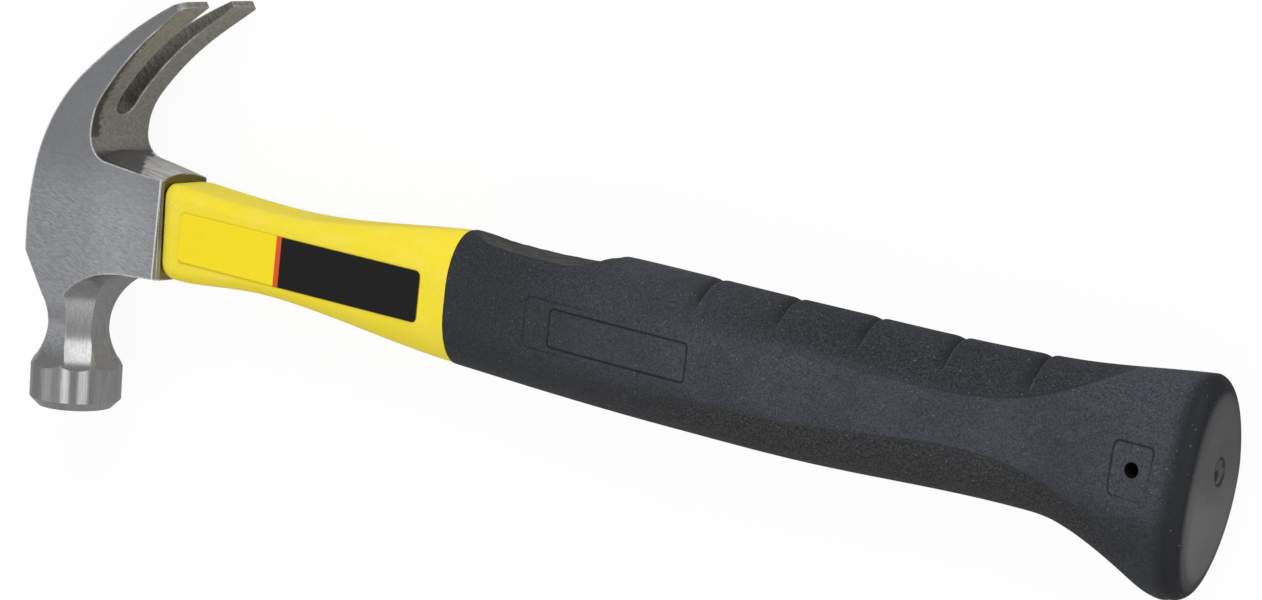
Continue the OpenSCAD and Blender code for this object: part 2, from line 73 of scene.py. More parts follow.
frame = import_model()
nodes = frame["nodes"]
cad_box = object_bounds()

# Places along the handle
BLOCK_REACH = 31.0
SPIGOT_X = BLOCK_REACH - 6.0
LEAD_X = BLOCK_REACH + 1.0
FLARE_X = LEAD_X + 5.0
SHOULDER_X = LEAD_X + 9.0
WAIST_X = BLOCK_REACH + 31.0
LABEL_X = FLARE_X + 0.4
LABEL_LEN = 69.5
LABEL_END = LABEL_X + LABEL_LEN
GRIP_X = LABEL_END + 6.8
BUTT_X = GRIP_X + 180.3

# Head
HEAD_CANT = math.radians(2.9)
HEAD_HALF = 18.5 / 2
SPLAY_FROM = 13.5
SPLAY_R = 185.0
SCORE_Y = 16.0
BRINK_NARROWS_Y = 18.0
EDGE_ROUND = 0.3
RUB_WIDTH = 0.55

# Jacket
EYE_FIT = 0.2
SPIGOT_DEEP = 18.6 / 2 - EYE_FIT
SPIGOT_HALF = 11.4 / 2 - EYE_FIT
SPIGOT_CORNER = 3.0 - EYE_FIT
SWELL_X = BLOCK_REACH + 0.4
SWELL_LEN = 3.6
SWELL_SIDE = 0.3
SWELL_TOP = 0.7
JACKET_HALF = 15.2 / 2
SHOULDER_CORNER = 3.0
FRONT_CORNER = 7.0
FRONT_ROUND = 12.0
FRONT_UP = 14.4
FRONT_DOWN = 14.2

# Label film and its print
LABEL_CORNER = 1.2
LABEL_PROUD = 0.18
LABEL_SEAT = 0.005
PANEL_X = LABEL_X + 30.0
STRIPE_WIDTH = 1.4
PRINT_EDGE = 0.05

# Grip
GRIP_STEP = 0.15
GRIP_LIP = 0.35
THUMB_X = GRIP_X + 22.0
REST_DROP = 0.9
REST_DISH = 0.012
PAD_X = GRIP_X + 39.0
PAD_STEP = 0.22
BELLY_X = GRIP_X + 58.0
HOLLOW_X = BUTT_X - 42.0
HEEL_X = BUTT_X - 6.5
HEEL_LEAD = 11.5
HEEL_LEAN = 2.2
LEAN_FROM = 0.3
LEAN_POWER = 1.4
BUTT_DOME = 1.0
BUTT_ROUND = 3.5
BUTT_TOP_DROP = 6.0
RIM_X = BUTT_X - BUTT_DOME
ROUND_X = RIM_X - BUTT_ROUND
GROOVES = GRIP_X + 64.6 + 19.3 * np.arange(5)
GROOVE_DEPTH = 1.35
GROOVE_RAMP = 3.6
GROOVE_WALL = 0.5
PIN = (BUTT_X - 13.4, 1.3)
PIN_D = 2.9
PIN_ROUND = 0.22
PIN_SPAN = 2.6
SQUARE = (PIN[0] - 0.2, PIN[1] - 0.3)
SQUARE_HALF = (4.2, 5.2)
PLATE = (GRIP_X + 47.5, 0.2)
PLATE_HALF = (17.9, 4.0)
SINK = 0.22
SINK_CORNER = 1.1
GATE_Y = 2.8
GATE_Z = 1.4
GATE_HALF_Y = 2.6
GATE_HALF_Z = 1.6
GATE_DEPTH = 0.5
BELOW_REST = -5.0

# Points on a corner arc, a side and a top of one ring
JACKET_RING = (18, 14, 8)
GRIP_RING = (30, 14, 2)

# Lines of the jacket along the handle: place, size, slope
JACKET_UP = [(LEAD_X + 2.8, 10.1, -0.06), (WAIST_X, 9.0, 0), (GRIP_X, FRONT_UP, 0.1)]
JACKET_DOWN = [(LEAD_X + 6.5, 11.2, -0.06), (WAIST_X, 9.4, 0), (GRIP_X, FRONT_DOWN, 0.06)]
SHOULDER = [(FLARE_X, SHOULDER_CORNER, 0), (WAIST_X, SHOULDER_CORNER, 0)]
JACKET_ROUND = SHOULDER + [(LABEL_END, 9.0, 0.25), (GRIP_X, FRONT_ROUND, 0.3)]
JACKET_FLAT = SHOULDER + [(GRIP_X, FRONT_CORNER, 0.1)]

# Lines of the grip along the handle: place, size or share, slope
PAD_TOP = [
    (PAD_X + 6, 16.4, 0), (GROOVES[1], 16.1, 0), (HOLLOW_X - 27, 16.1, 0), (HOLLOW_X + 8, 17.0, 0.06),
    (ROUND_X, 20.4, 0.1),
]
GRIP_UP = [
    (GRIP_X, FRONT_UP + GRIP_STEP, -0.08), (THUMB_X, 13.3, 0), (PAD_X - 8.5, 13.6, 0.12), (PAD_X, 16.1, 0.1),
] + PAD_TOP
GRIP_FULL_UP = [
    (GRIP_X, FRONT_UP + GRIP_STEP, 0.0), (THUMB_X, 15.2, 0.05), (PAD_X, 16.3, 0.05),
] + PAD_TOP
GRIP_DOWN = [
    (GRIP_X, FRONT_DOWN + GRIP_STEP, 0.03), (BELLY_X, 15.7, 0), (BELLY_X + 35, 15.45, -0.035),
    (HOLLOW_X, 13.5, 0), (HOLLOW_X + 10, 14.25, 0.25), (HEEL_X - HEEL_LEAD, 19.8, 0.5),
    (HEEL_X, 23.5, 0.05), (ROUND_X, 23.1, -0.3),
]
GRIP_SIDE = [
    (GRIP_X, JACKET_HALF + GRIP_STEP, 0.06), (BELLY_X + 8, 10.9, 0), (HOLLOW_X, 9.5, 0),
    (ROUND_X - 5, 11.2, 0),
]
GRIP_ROUND = [
    (GRIP_X, FRONT_ROUND / ((FRONT_UP + FRONT_DOWN) / 2), 0), (THUMB_X, 0.8, 0), (BELLY_X, 0.88, 0),
    (HOLLOW_X, 0.92, 0), (ROUND_X, 0.98, 0),
]
GRIP_FLAT = [(GRIP_X, FRONT_CORNER / JACKET_HALF, 0), (BELLY_X, 0.98, 0)]
LEAN_RISE = [(HEEL_X - HEEL_LEAD, 0, 0), (ROUND_X, 1, 0)]
PAD_EDGE = [
    (GRIP_X + 40, 6.6, 0), (GRIP_X + 92.3, 7.6, 0), (GRIP_X + 126.3, 7.4, 0.05),
    (GRIP_X + 147.3, 11.7, 0.42), (GRIP_X + 157.3, 16.8, 0.55), (GRIP_X + 176.3, 29.0, 0.7),
]
BELLY_EDGE = [
    (GRIP_X + 20, -9.0, 0.02), (GRIP_X + 68.8, -7.2, 0.03), (GRIP_X + 100.9, -5.7, 0.09),
    (GRIP_X + 129.3, -3.2, 0), (GRIP_X + 140.8, -4.1, -0.2), (GRIP_X + 152.3, -7.6, -0.45),
    (GRIP_X + 162.3, -14.6, -0.8), (GRIP_X + 179.3, -32.0, -1.0),
]

# Places along the grip in pairs: a form or a finish is absent at the first and full at the second
ALONG = {name: (GRIP_X + none, GRIP_X + full) for name, none, full in (
    ("pad_step", 82.3, 98.3),
    ("pad", 36.3, 91.3),
    ("faint_pad", 126.3, 81.3),
    ("pad_line", 86.3, 132.3),
    ("belly", 6.3, 76.3),
    ("belly_line", 82.3, 126.3),
    ("smooth_band", 4.3, 61.3),
    ("plate_frame", 48.3, 23.3),
)}

# Heights on the head in pairs, in the same way
HEIGHT = {
    "poll": (-34.0, -36.5),
    "over_poll": (-36.0, -34.5),
    "wear_and_highlight": (-36.0, -28.0),
    "flare": (-28.0, -31.0),
    "block_from": (-30.0, -20.0),
    "block_to": (15.0, 13.0),
    "bend_from": (-28.0, -22.0),
    "bend_to": (-18.0, -20.0),
    "polished": (-10.5, -13.5),
    "paler_mouth_rim_shade": (-3.0, -8.0),
    "dull": (-1.0, 15.0),
    "crown_from": (5.0, 7.0),
    "crown_to": (18.5, 17.0),
    "inner": (6.0, 9.0),
    "turned_lines": (8.0, 26.0),
    "brink": (14.5, 17.5),
    "floor": (18.0, 15.5),
    "slot": (16.5, 18.5),
    "slot_end_highlight": (20.5, 18.8),
    "tips": (41.0, 45.0),
}

# Colours: one, or a dark and a light one that a pattern goes between
STEEL = {
    "ground": ((0.4, 0.405, 0.43), (0.64, 0.645, 0.67)),
    "cloudy": (0.46, 0.465, 0.485),
    "dull": (0.32, 0.325, 0.34),
    "polished": ((0.48, 0.48, 0.485), (0.6, 0.6, 0.61)),
    "forged": ((0.43, 0.418, 0.38), (0.6, 0.585, 0.54)),
    # Crotch floor between the claws: real pitted scale, its dark tones painted shade
    "floor": ((0.18, 0.178, 0.176), (0.36, 0.356, 0.352)),
    "brink": (0.1, 0.094, 0.076),
    "scored": (0.52, 0.51, 0.48),
    "slot": ((0.15, 0.14, 0.118), (0.46, 0.44, 0.4)),
    # Painted bluish highlight at the slot's end
    "slot_end_highlight": (0.62, 0.63, 0.67),
    # Painted highlight on the block's crown, up to white, over its ground grit
    "crown": ((0.6, 0.598, 0.592), (1.0, 0.997, 0.99)),
    # Painted shade with a painted reflection of the yellow jacket on the steel's end band at the mouth
    "mouth_rim_shade": ((0.2, 0.175, 0.06), (0.36, 0.33, 0.17)),
    # Rubbed edges: real wear and a painted highlight, near white
    "wear_and_highlight": (0.88, 0.88, 0.89),
}
YELLOW = {
    "plastic": ((0.79, 0.635, 0.026), (0.89, 0.725, 0.046)),
    "smear": (0.88, 0.76, 0.16),
    "scuff": (0.9, 0.82, 0.4),
    "dirt": (0.33, 0.26, 0.05),
    "speck": (0.5, 0.4, 0.03),
}
PRINT = {
    "film": ((0.84, 0.66, 0.012), (0.91, 0.73, 0.018)),
    "panel": ((0.006, 0.0058, 0.0056), (0.012, 0.0115, 0.011)),
    "rim": (0.5, 0.38, 0.02),
    "stripe": (0.7, 0.085, 0.022),
}
RUBBER = {
    "band": ((0.024, 0.0265, 0.034), (0.061, 0.066, 0.08)),
    "front": ((0.0125, 0.0135, 0.017), (0.037, 0.039, 0.0455)),
    "pad": ((0.0088, 0.0095, 0.012), (0.0415, 0.0435, 0.05)),
    # Belly: real coarse grain, its darker tone partly painted shade
    "belly": ((0.0095, 0.0097, 0.0105), (0.053, 0.053, 0.054)),
    "cloudy": (0.0165, 0.0175, 0.02),
    "rest": ((0.02, 0.02, 0.021), (0.05, 0.05, 0.051)),
    # Painted shade on the rounding round the butt's end face
    "turn": (0.0055, 0.006, 0.0075),
    # End face: grey tones, lighter low down as a painted highlight
    "end": ((0.05, 0.05, 0.051), (0.145, 0.145, 0.147)),
    # Painted shade on the ramp before each groove and a painted highlight on its wall
    "groove": (0.009, 0.0095, 0.011),
    "groove_wall_highlight": (0.1, 0.1, 0.1),
    "seam": (0.005, 0.005, 0.006),
    "ledge": (0.012, 0.012, 0.013),
    "speck": (0.22, 0.22, 0.21),
    # Painted shade inside the pin hole
    "hole": (0.002, 0.002, 0.002),
}
FIBREGLASS = (0.72, 0.7, 0.52)
EPOXY = (0.2, 0.16, 0.07)

rod_lo, rod_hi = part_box("core_rod")
label_lo, label_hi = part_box("label_front")
HOME = np.array([
    label_lo.x / MM - LABEL_X,
    (rod_lo.y + rod_hi.y) / 2 / MM,
    (rod_lo.z + rod_hi.z) / 2 / MM,
])
LABEL_Y = (label_lo.y + label_hi.y) / 2 / MM - HOME[1]
LABEL_HALF = (label_hi.y - label_lo.y) / 2 / MM


def place(points):
    """Handle-frame millimetres to row-frame metres."""
    return (np.asarray(points, float) + HOME) * MM


def smooth(x, low, high):
    """Smooth step from 0 at low to 1 at high."""
    t = np.clip((x - low) / (high - low), 0.0, 1.0)
    return t * t * (3 - 2 * t)


def curve(knots, x):
    """Cubic through knots (place, value, slope), level before the first and after the last."""
    k = np.asarray(knots, float)
    x = np.clip(np.asarray(x, float), k[0, 0], k[-1, 0])
    i = np.clip(np.searchsorted(k[:, 0], x, side="right") - 1, 0, len(k) - 2)
    run = k[i + 1, 0] - k[i, 0]
    t = (x - k[i, 0]) / run
    rise = 3 * t ** 2 - 2 * t ** 3
    return (
        k[i, 1] + (k[i + 1, 1] - k[i, 1]) * rise
        + k[i, 2] * run * (t ** 3 - 2 * t ** 2 + t)
        + k[i + 1, 2] * run * (t ** 3 - t ** 2)
    )


def ring_layout(arc, side, top):
    """Points round a section of four arcs, two flat sides and a flat top and bottom.

    Each is an angle on a corner arc, with how far along the side and the top the arc's centre lies, -1 to 1.
    """
    a, oy, oz = [], [], []
    along = np.linspace(-1, 1, side + 2)[1:-1]
    across = np.linspace(1, -1, top + 2)[1:-1]
    signs = ((1, 1), (1, -1), (-1, -1), (-1, 1))
    for quarter, (sy, sz) in enumerate(signs):
        if quarter % 2 == 0:
            a += [90.0 * quarter] * side
            oy += list(along * sy)
            oz += [sz] * side
        else:
            a += [90.0 * quarter] * top
            oy += [sy] * top
            oz += list(across if quarter == 1 else -across)
        a += list(90.0 * (quarter + np.linspace(0, 1, arc)))
        oy += [sy] * arc
        oz += [sz] * arc
    return np.radians(a), np.array(oy, float), np.array(oz, float)


def section(layout, *sizes):
    """Rows of ring points (y, z) of rectangles with elliptical corners, one row for each place.

    The sizes are arrays along the handle: up, down, half thickness, corner height and corner width.
    """
    a, oy, oz = layout
    up, down, half, corner_y, corner_z = (np.asarray(size, float)[:, None] for size in sizes)
    middle, deep = (up - down) / 2, (up + down) / 2
    y = middle + oy * (deep - corner_y) + corner_y * np.sin(a)
    z = oz * (half - corner_z) + corner_z * np.cos(a)
    return y, z


def mesh_object(name, points, faces, fields=None):
    """A smooth-shaded mesh piece from row-frame points and faces, with its named values at each point."""
    mesh = bpy.data.meshes.new(name)
    mesh.from_pydata(points.tolist(), [], faces)
    mesh.polygons.foreach_set("use_smooth", np.ones(len(mesh.polygons), bool))
    for label, values in (fields or {}).items():
        mesh.attributes.new(label, "FLOAT", "POINT").data.foreach_set("value", np.asarray(values, np.float32))
    mesh.update()
    piece = bpy.data.objects.new(name, mesh)
    bpy.context.scene.collection.objects.link(piece)
    return piece


def ring_cells(m, n):
    """Four-sided cells between m rings of n points, as an array [ring, point, corner], facing outward."""
    j, i = np.meshgrid(np.arange(m - 1), np.arange(n), indexing="ij")
    a = j * n + i
    b = j * n + (i + 1) % n
    return np.stack([a, b, b + n, a + n], axis=-1)


def ring_ends(m, n):
    """Fans that close the first and the last of m rings of n points, round two hubs added after them."""
    k = np.arange(n)
    last = (m - 1) * n
    front = np.stack([np.full(n, m * n), (k + 1) % n, k], axis=-1)
    back = np.stack([np.full(n, m * n + 1), last + k, last + (k + 1) % n], axis=-1)
    return front.tolist() + back.tolist()


def with_hubs(grid):
    """Points of a grid of rings with the middle of its first and last ring added."""
    return np.vstack([grid.reshape(-1, 3), grid[0].mean(axis=0), grid[-1].mean(axis=0)])


def loft(name, grid):
    """A closed piece over a grid of rings: ring points run round, rings run along, a fan closes each end."""
    m, n, _ = grid.shape
    faces = ring_cells(m, n).reshape(-1, 4).tolist() + ring_ends(m, n)
    return mesh_object(name, place(with_hubs(grid)), faces)


def pierce(grid, centre, radius, rounding, span):
    """Points and faces of a grid of rings with a round hole through both of its sides, along Z.

    The cells within span of the centre are left out on the near side and on its mirror image. Rings of points
    shrink from that gap's edge to the hole's circle, with their height from a cubic surface fitted to the
    grid round it. A quarter round leads into the hole, and a wall joins the two circles.
    """
    m, n, _ = grid.shape
    middle = grid[m // 2]
    mirror = np.abs(middle[:, None, 1] - middle[None, :, 1]) + np.abs(middle[:, None, 2] + middle[None, :, 2])
    mirror = mirror.argmin(axis=1)
    far_side = grid[:, :, 2] < 0
    away = np.abs(grid[:, :, 0] - centre[0]) + np.abs(grid[:, :, 1] - centre[1])
    j, i = np.unravel_index(np.where(far_side, np.inf, away).argmin(), away.shape)
    rows = np.flatnonzero(np.abs(grid[:, i, 0] - centre[0]) < span)
    turn = (np.arange(-(n // 4), n // 4) + i) % n
    cols = turn[np.abs(grid[j, turn, 1] - centre[1]) < span]
    loop = np.concatenate([
        rows[0] * n + cols[:-1],
        rows[:-1] * n + cols[-1],
        rows[-1] * n + cols[:0:-1],
        rows[:0:-1] * n + cols[0],
    ])
    edge = grid.reshape(-1, 3)[loop]
    angle = np.arctan2(edge[:, 1] - centre[1], edge[:, 0] - centre[0])

    def terms(x, y):
        u, v = (x - centre[0]) / span, (y - centre[1]) / span
        return np.stack([u ** p * v ** q for p in range(4) for q in range(4 - p)], axis=-1)

    patch = grid[rows[0] - 2:rows[-1] + 3][:, cols].reshape(-1, 3)
    fit = np.linalg.lstsq(terms(patch[:, 0], patch[:, 1]), patch[:, 2], rcond=None)[0]

    def ring(spot, drop=0.0):
        return np.column_stack([spot, terms(spot[:, 0], spot[:, 1]) @ fit - drop])

    def circle(r):
        return np.stack([centre[0] + r * np.cos(angle), centre[1] + r * np.sin(angle)], axis=-1)

    rim = circle(radius + rounding)
    rings = [ring(edge[:, :2] * (1 - share) + rim * share) for share in (0.35, 0.7, 1.0)]
    for lean in np.radians([45, 90]):
        rings.append(ring(circle(radius + rounding * (1 - math.sin(lean))), rounding * (1 - math.cos(lean))))
    near = np.stack(rings)
    far = near * (1, 1, -1)
    points = np.vstack([with_hubs(grid), near.reshape(-1, 3), far.reshape(-1, 3)])
    depth, count = near.shape[:2]
    added = m * n + 2 + np.arange(2 * depth * count).reshape(2, depth, count)
    near_at = np.vstack([loop, added[0]])
    far_at = np.vstack([loop // n * n + mirror[loop % n], added[1]])

    def band(outer, inner):
        return np.stack([outer, np.roll(outer, -1), np.roll(inner, -1), inner], axis=-1).tolist()

    keep = np.ones((m - 1, n), bool)
    keep[np.ix_(rows[:-1], cols[:-1])] = False
    keep[np.ix_(rows[:-1], mirror[cols[1:]])] = False
    faces = ring_cells(m, n)[keep].tolist() + ring_ends(m, n)
    for k in range(depth):
        faces += band(near_at[k], near_at[k + 1]) + band(far_at[k + 1], far_at[k])
    faces += band(near_at[-1], far_at[-1])
    return points, faces


def jacket_sizes(s):
    """Up, down, half thickness and corner sizes of the jacket's section along the handle, on cubic lines."""
    up, down = curve(JACKET_UP, s), curve(JACKET_DOWN, s)
    return up, down, np.full_like(up, JACKET_HALF), curve(JACKET_ROUND, s), curve(JACKET_FLAT, s)


def jacket_grid():
    """Yellow jacket from its spigot to the grip.

    Sections follow the cubic lines of jacket_sizes. At the mouth they swell from the spigot on a quarter
    round, and their plane leans with the head's cant, which fades out along the shoulder.
    """
    s = np.concatenate([
        [SPIGOT_X, SWELL_X - 0.02],
        SWELL_X + SWELL_LEN * (1 - np.cos(np.linspace(0, np.pi / 2, 24))),
        np.linspace(SWELL_X + SWELL_LEN + 0.6, GRIP_X + 0.2, 130),
    ])
    t = np.clip((s - SWELL_X) / SWELL_LEN, 0, 1)
    bulge = np.sqrt(1 - (1 - t) ** 2)
    grown = np.where(s < SWELL_X, 0, SWELL_SIDE + (1 - SWELL_SIDE) * bulge)
    grown_up = np.where(s < SWELL_X, 0, SWELL_TOP + (1 - SWELL_TOP) * bulge)
    up, down, half, corner_y, corner_z = jacket_sizes(s)
    y, z = section(
        ring_layout(*JACKET_RING),
        SPIGOT_DEEP + (up - SPIGOT_DEEP) * grown_up,
        SPIGOT_DEEP + (down - SPIGOT_DEEP) * grown,
        SPIGOT_HALF + (half - SPIGOT_HALF) * grown,
        np.maximum(corner_y, SPIGOT_CORNER),
        corner_z,
    )
    lean = np.where(s < SWELL_X - 0.1, 0, math.tan(HEAD_CANT) * (1 - smooth(s, LEAD_X, SHOULDER_X)))
    return np.stack([s[:, None] - lean[:, None] * y, y, z], axis=-1)


def label_piece(name, node, side):
    """Film that follows the jacket's side: a rounded rectangle on a grid, a little proud, closed below."""
    low, high = (np.array(corner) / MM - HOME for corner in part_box(node))
    run, rise = (high[:2] - low[:2]) / 2
    middle = (low + high) / 2
    ends = run - LABEL_CORNER * (1 - np.sin(np.linspace(0, np.pi / 2, 10)))
    along = np.concatenate([-ends[::-1], np.linspace(-ends[0], ends[0], 72)[1:-1], ends])
    reach = np.clip(np.abs(along) - (run - LABEL_CORNER), 0, LABEL_CORNER)
    width = rise - LABEL_CORNER + np.sqrt(LABEL_CORNER ** 2 - reach ** 2)
    across = np.linspace(-1, 1, 26)
    s = middle[0] + along[:, None] + np.zeros(across.size)
    y = middle[1] + width[:, None] * across
    up, down, half, corner_y, corner_z = (size[:, None] for size in jacket_sizes(s[:, 0]))
    past = np.clip(np.abs(y - (up - down) / 2) - ((up + down) / 2 - corner_y), 0, None) / corner_y
    z = half - corner_z + corner_z * np.sqrt(1 - np.minimum(past, 1) ** 2)
    top = np.stack([s, y, side * (z + LABEL_PROUD)], axis=-1)
    base = np.stack([s, y, side * (z + LABEL_SEAT)], axis=-1)
    m, n, _ = top.shape
    at = np.arange(m * n).reshape(m, n)
    cells = np.stack([at[:-1, :-1], at[1:, :-1], at[1:, 1:], at[:-1, 1:]], axis=-1).reshape(-1, 4)
    loop = np.concatenate([at[:-1, 0], at[-1, :-1], at[:0:-1, -1], at[0, :0:-1]])
    step = np.roll(loop, -1)
    skirt = np.stack([loop, loop + m * n, step + m * n, step], axis=-1)
    faces = np.concatenate([cells, cells[:, ::-1] + m * n, skirt])
    if side < 0:
        faces = faces[:, ::-1]
    points = np.concatenate([top.reshape(-1, 3), base.reshape(-1, 3)])
    return mesh_object(name, place(points), faces.tolist())


def groove_depth(s):
    """Depth of the grooves along the pad: a long ramp down to each groove's floor, then a steep wall."""
    depth = np.zeros_like(s)
    for g in GROOVES:
        ramp = np.clip((s - (g - GROOVE_RAMP)) / GROOVE_RAMP, 0, 1) ** 2.4
        wall = np.clip((g + GROOVE_WALL - s) / GROOVE_WALL, 0, 1)
        depth = np.maximum(depth, GROOVE_DEPTH * np.minimum(ramp, wall))
    return depth


def sink_share(x, y, half):
    """Share of full depth in a sunk rectangle with round corners: one inside, a short slope, none outside."""
    past = [np.maximum(np.abs(part) - reach + SINK_CORNER, 0) for part, reach in ((x, half[0]), (y, half[1]))]
    return 1 - smooth(np.hypot(*past) - SINK_CORNER, -0.45, 0.05)


def sunk_depth(s, y, z, half):
    """Depth that the grip's sides are drawn in: below the pad's edge, in the plate and round the pin hole."""
    edge = y - curve(PAD_EDGE, s)
    depth = PAD_STEP * smooth(s, *ALONG["pad_step"]) * (1 - smooth(edge, -0.6, 0.3))
    for centre, reach in ((PLATE, PLATE_HALF), (SQUARE, SQUARE_HALF)):
        depth = depth + SINK * sink_share(s - centre[0], y - centre[1], reach) * (np.abs(z) > half / 2)
    return depth


def heel_lean(s, height):
    """How far the butt's tilted end is set back, at a height in the section from -1 below to 1 on top."""
    share = np.maximum(LEAN_FROM - height, 0) / (1 + LEAN_FROM)
    return HEEL_LEAN * curve(LEAN_RISE, s) * share ** LEAN_POWER


def grip_stations():
    """Places of the grip's rings: even, with more of them at the grooves and the sunk rectangles' ends."""
    even = np.linspace(GRIP_X + GRIP_LIP, ROUND_X, 390)
    near = np.array([-2.6, -2.0, -1.5, -1.1, -0.8, -0.5, -0.25, -0.1, 0.0, 0.12, 0.25, 0.38, 0.5, 0.65])
    ends = np.array([centre[0] + side * half[0] for centre, half in ((PLATE, PLATE_HALF), (PIN, SQUARE_HALF))
                     for side in (-1, 1)])
    slopes = ends[:, None] + np.array([-0.45, -0.3, -0.15, 0.0, 0.15, 0.3])
    s = np.concatenate([even, slopes.ravel()] + [g + near for g in GROOVES])
    return np.unique(np.round(s, 4))


def grip_rings():
    """Each ring's section, place and inset: round the front lip, along the body and round the butt's rim."""
    body = grip_stations()
    lip = np.radians(np.linspace(0, 90, 6)[:-1])
    turn = np.radians(np.linspace(0, 90, 18)[1:])
    s = np.concatenate([np.full(lip.size, GRIP_X), body, np.full(turn.size, ROUND_X)])
    at = np.concatenate([GRIP_X + GRIP_LIP * (1 - np.cos(lip)), body, ROUND_X + BUTT_ROUND * np.sin(turn)])
    inset = np.concatenate([
        GRIP_LIP * (1 - np.sin(lip)), np.zeros(body.size), BUTT_ROUND * (1 - np.cos(turn)),
    ])
    return s, at, inset


def butt_dome(end):
    """Domed end face: the last ring shrunk towards its middle and raised on a parabola, with a sunk mark."""
    middle = (end[:, 1].max() + end[:, 1].min()) / 2
    k = np.linspace(0.96, 0.04, 24)[:, None]
    x = RIM_X + BUTT_DOME * (1 - k ** 2) + (end[:, 0] - RIM_X) * k ** 2
    y = middle + (end[:, 1] - middle) * k
    z = end[:, 2] * k
    gate = np.hypot((y - GATE_Y) / GATE_HALF_Y, (z - GATE_Z) / GATE_HALF_Z)
    return np.stack([x - GATE_DEPTH * (1 - smooth(gate, 0.7, 1.05)), y, z], axis=-1)


def grip_grid():
    """Rubber grip: sections along the handle, a dished thumb rest, grooves across the pad and a domed butt.

    Returns the rings and how far each of their points would lie above the thumb rest's cut without it.
    """
    s, at, inset = grip_rings()
    top_inset = inset * np.where(at > ROUND_X, BUTT_TOP_DROP / BUTT_ROUND, 1)
    full = curve(GRIP_FULL_UP, s) - top_inset
    cut = curve(GRIP_UP, s) - top_inset
    down = curve(GRIP_DOWN, s) - inset
    half = curve(GRIP_SIDE, s) - inset
    deep = (full + down) / 2
    corner_y, corner_z = deep * curve(GRIP_ROUND, s), half * curve(GRIP_FLAT, s)
    y, z = section(ring_layout(*GRIP_RING), full, down, half, corner_y, corner_z)
    s, at, half, full, cut, down, deep = (v[:, None] for v in (s, at, half, full, cut, down, deep))
    height = (y - (full - down) / 2) / deep
    rest = cut - REST_DROP * smooth(full - cut, 0, 0.8) + REST_DISH * z ** 2
    over = np.where(s < PAD_X + 1, y - rest, BELOW_REST)
    y = np.where(over > 0, rest, y)
    z = z * (1 - sunk_depth(s, y, z, half) / half)
    y = y - groove_depth(s) * smooth(height, 0.62, 0.88)
    grid = np.stack([at - heel_lean(s, height), y, z], axis=-1)
    dome = butt_dome(grid[-1])
    over = np.vstack([over, np.full(dome.shape[:2], BELOW_REST)])
    return np.concatenate([grid, dome]), over


def grip_fields(points, over):
    """Values at the grip's points: distances from its edges, the end face and the nearest groove's floor."""
    s, y = points[:, 0], points[:, 1]
    up, down = curve(GRIP_FULL_UP, s), curve(GRIP_DOWN, s)
    height = (y - (up - down) / 2) / ((up + down) / 2)
    return {
        "pad_edge": y - curve(PAD_EDGE, s),
        "belly_edge": y - curve(BELLY_EDGE, s),
        "end_face": (s + heel_lean(s, height) - ROUND_X) / BUTT_ROUND,
        "groove": s - GROOVES[np.abs(s[:, None] - GROOVES).argmin(axis=1)],
        "rest_edge": np.concatenate([over.ravel(), np.full(len(points) - over.size, BELOW_REST)]),
    }


# Shader nodes

# The tree that new nodes go into, set by effect() and material()
current = SimpleNamespace(tree=None)

# A Mix node's first input and its output, for each kind of value
MIX = {"FLOAT": (2, 0), "VECTOR": (4, 1), "RGBA": (6, 2)}


def add(kind, **settings):
    """A new node with its settings."""
    made = current.tree.nodes.new(kind)
    for key, value in settings.items():
        setattr(made, key, value)
    return made


def feed(socket, value):
    """Joins an output to a socket, or sets the socket's value. A colour has red, green and blue."""
    if isinstance(value, bpy.types.NodeSocket):
        current.tree.links.new(value, socket)
    elif socket.type == "RGBA":
        socket.default_value = (*value, 1.0)
    else:
        socket.default_value = value


def calc(operation, *values):
    """One step of arithmetic."""
    made = add("ShaderNodeMath", operation=operation)
    for socket, value in zip(made.inputs, values):
        feed(socket, value)
    return made.outputs[0]


def less(a, b):
    """a minus b."""
    return calc("SUBTRACT", a, b)


def left(share):
    """What a share leaves of one."""
    return less(1.0, share)


def plus(base, *terms):
    """The base with more values added, each followed by its factor."""
    for value, factor in zip(terms[::2], terms[1::2]):
        base = calc("MULTIPLY_ADD", value, factor, base)
    return base


def times(first, *others):
    """The product of the values."""
    for other in others:
        first = calc("MULTIPLY", first, other)
    return first


def most(first, *others):
    """The largest of the values."""
    for other in others:
        first = calc("MAXIMUM", first, other)
    return first


def mix(share, a, b, kind="RGBA"):
    """A colour, vector or value that goes from a to b with the share."""
    first, result = MIX[kind]
    made = add("ShaderNodeMix", data_type=kind)
    feed(made.inputs[0], share)
    feed(made.inputs[first], a)
    feed(made.inputs[first + 1], b)
    return made.outputs[result]


def coats(colour, colours, *layers):
    """The colour under layers of others: each one's name, its mask and how much it covers there."""
    for name, share, amount in layers:
        colour = mix(times(share, amount), colour, colours[name])
    return colour


def step(value, low, high):
    """Smooth step from 0 at low to 1 at high."""
    made = add("ShaderNodeMapRange", interpolation_type="SMOOTHSTEP")
    for socket, given in zip(made.inputs, (value, low, high)):
        feed(socket, given)
    return made.outputs[0]


def near(value, reach):
    """1 where a signed distance is zero, falling to 0 at the given reach on both sides."""
    return step(calc("ABSOLUTE", value), reach, 0.0)


def apart(*places):
    """Distance from a place, from each of two parts' value, middle and unit length."""
    squares = [calc("POWER", calc("DIVIDE", less(part, middle), unit), 2.0) for part, middle, unit in places]
    return calc("SQRT", calc("ADD", *squares))


def noise(vector, scale, detail=2.0, rough=0.5):
    """Soft noise round 0.5."""
    made = add("ShaderNodeTexNoise")
    feed(made.inputs["Vector"], vector)
    feed(made.inputs["Scale"], scale)
    made.inputs["Detail"].default_value = detail
    made.inputs["Roughness"].default_value = rough
    return made.outputs["Fac"]


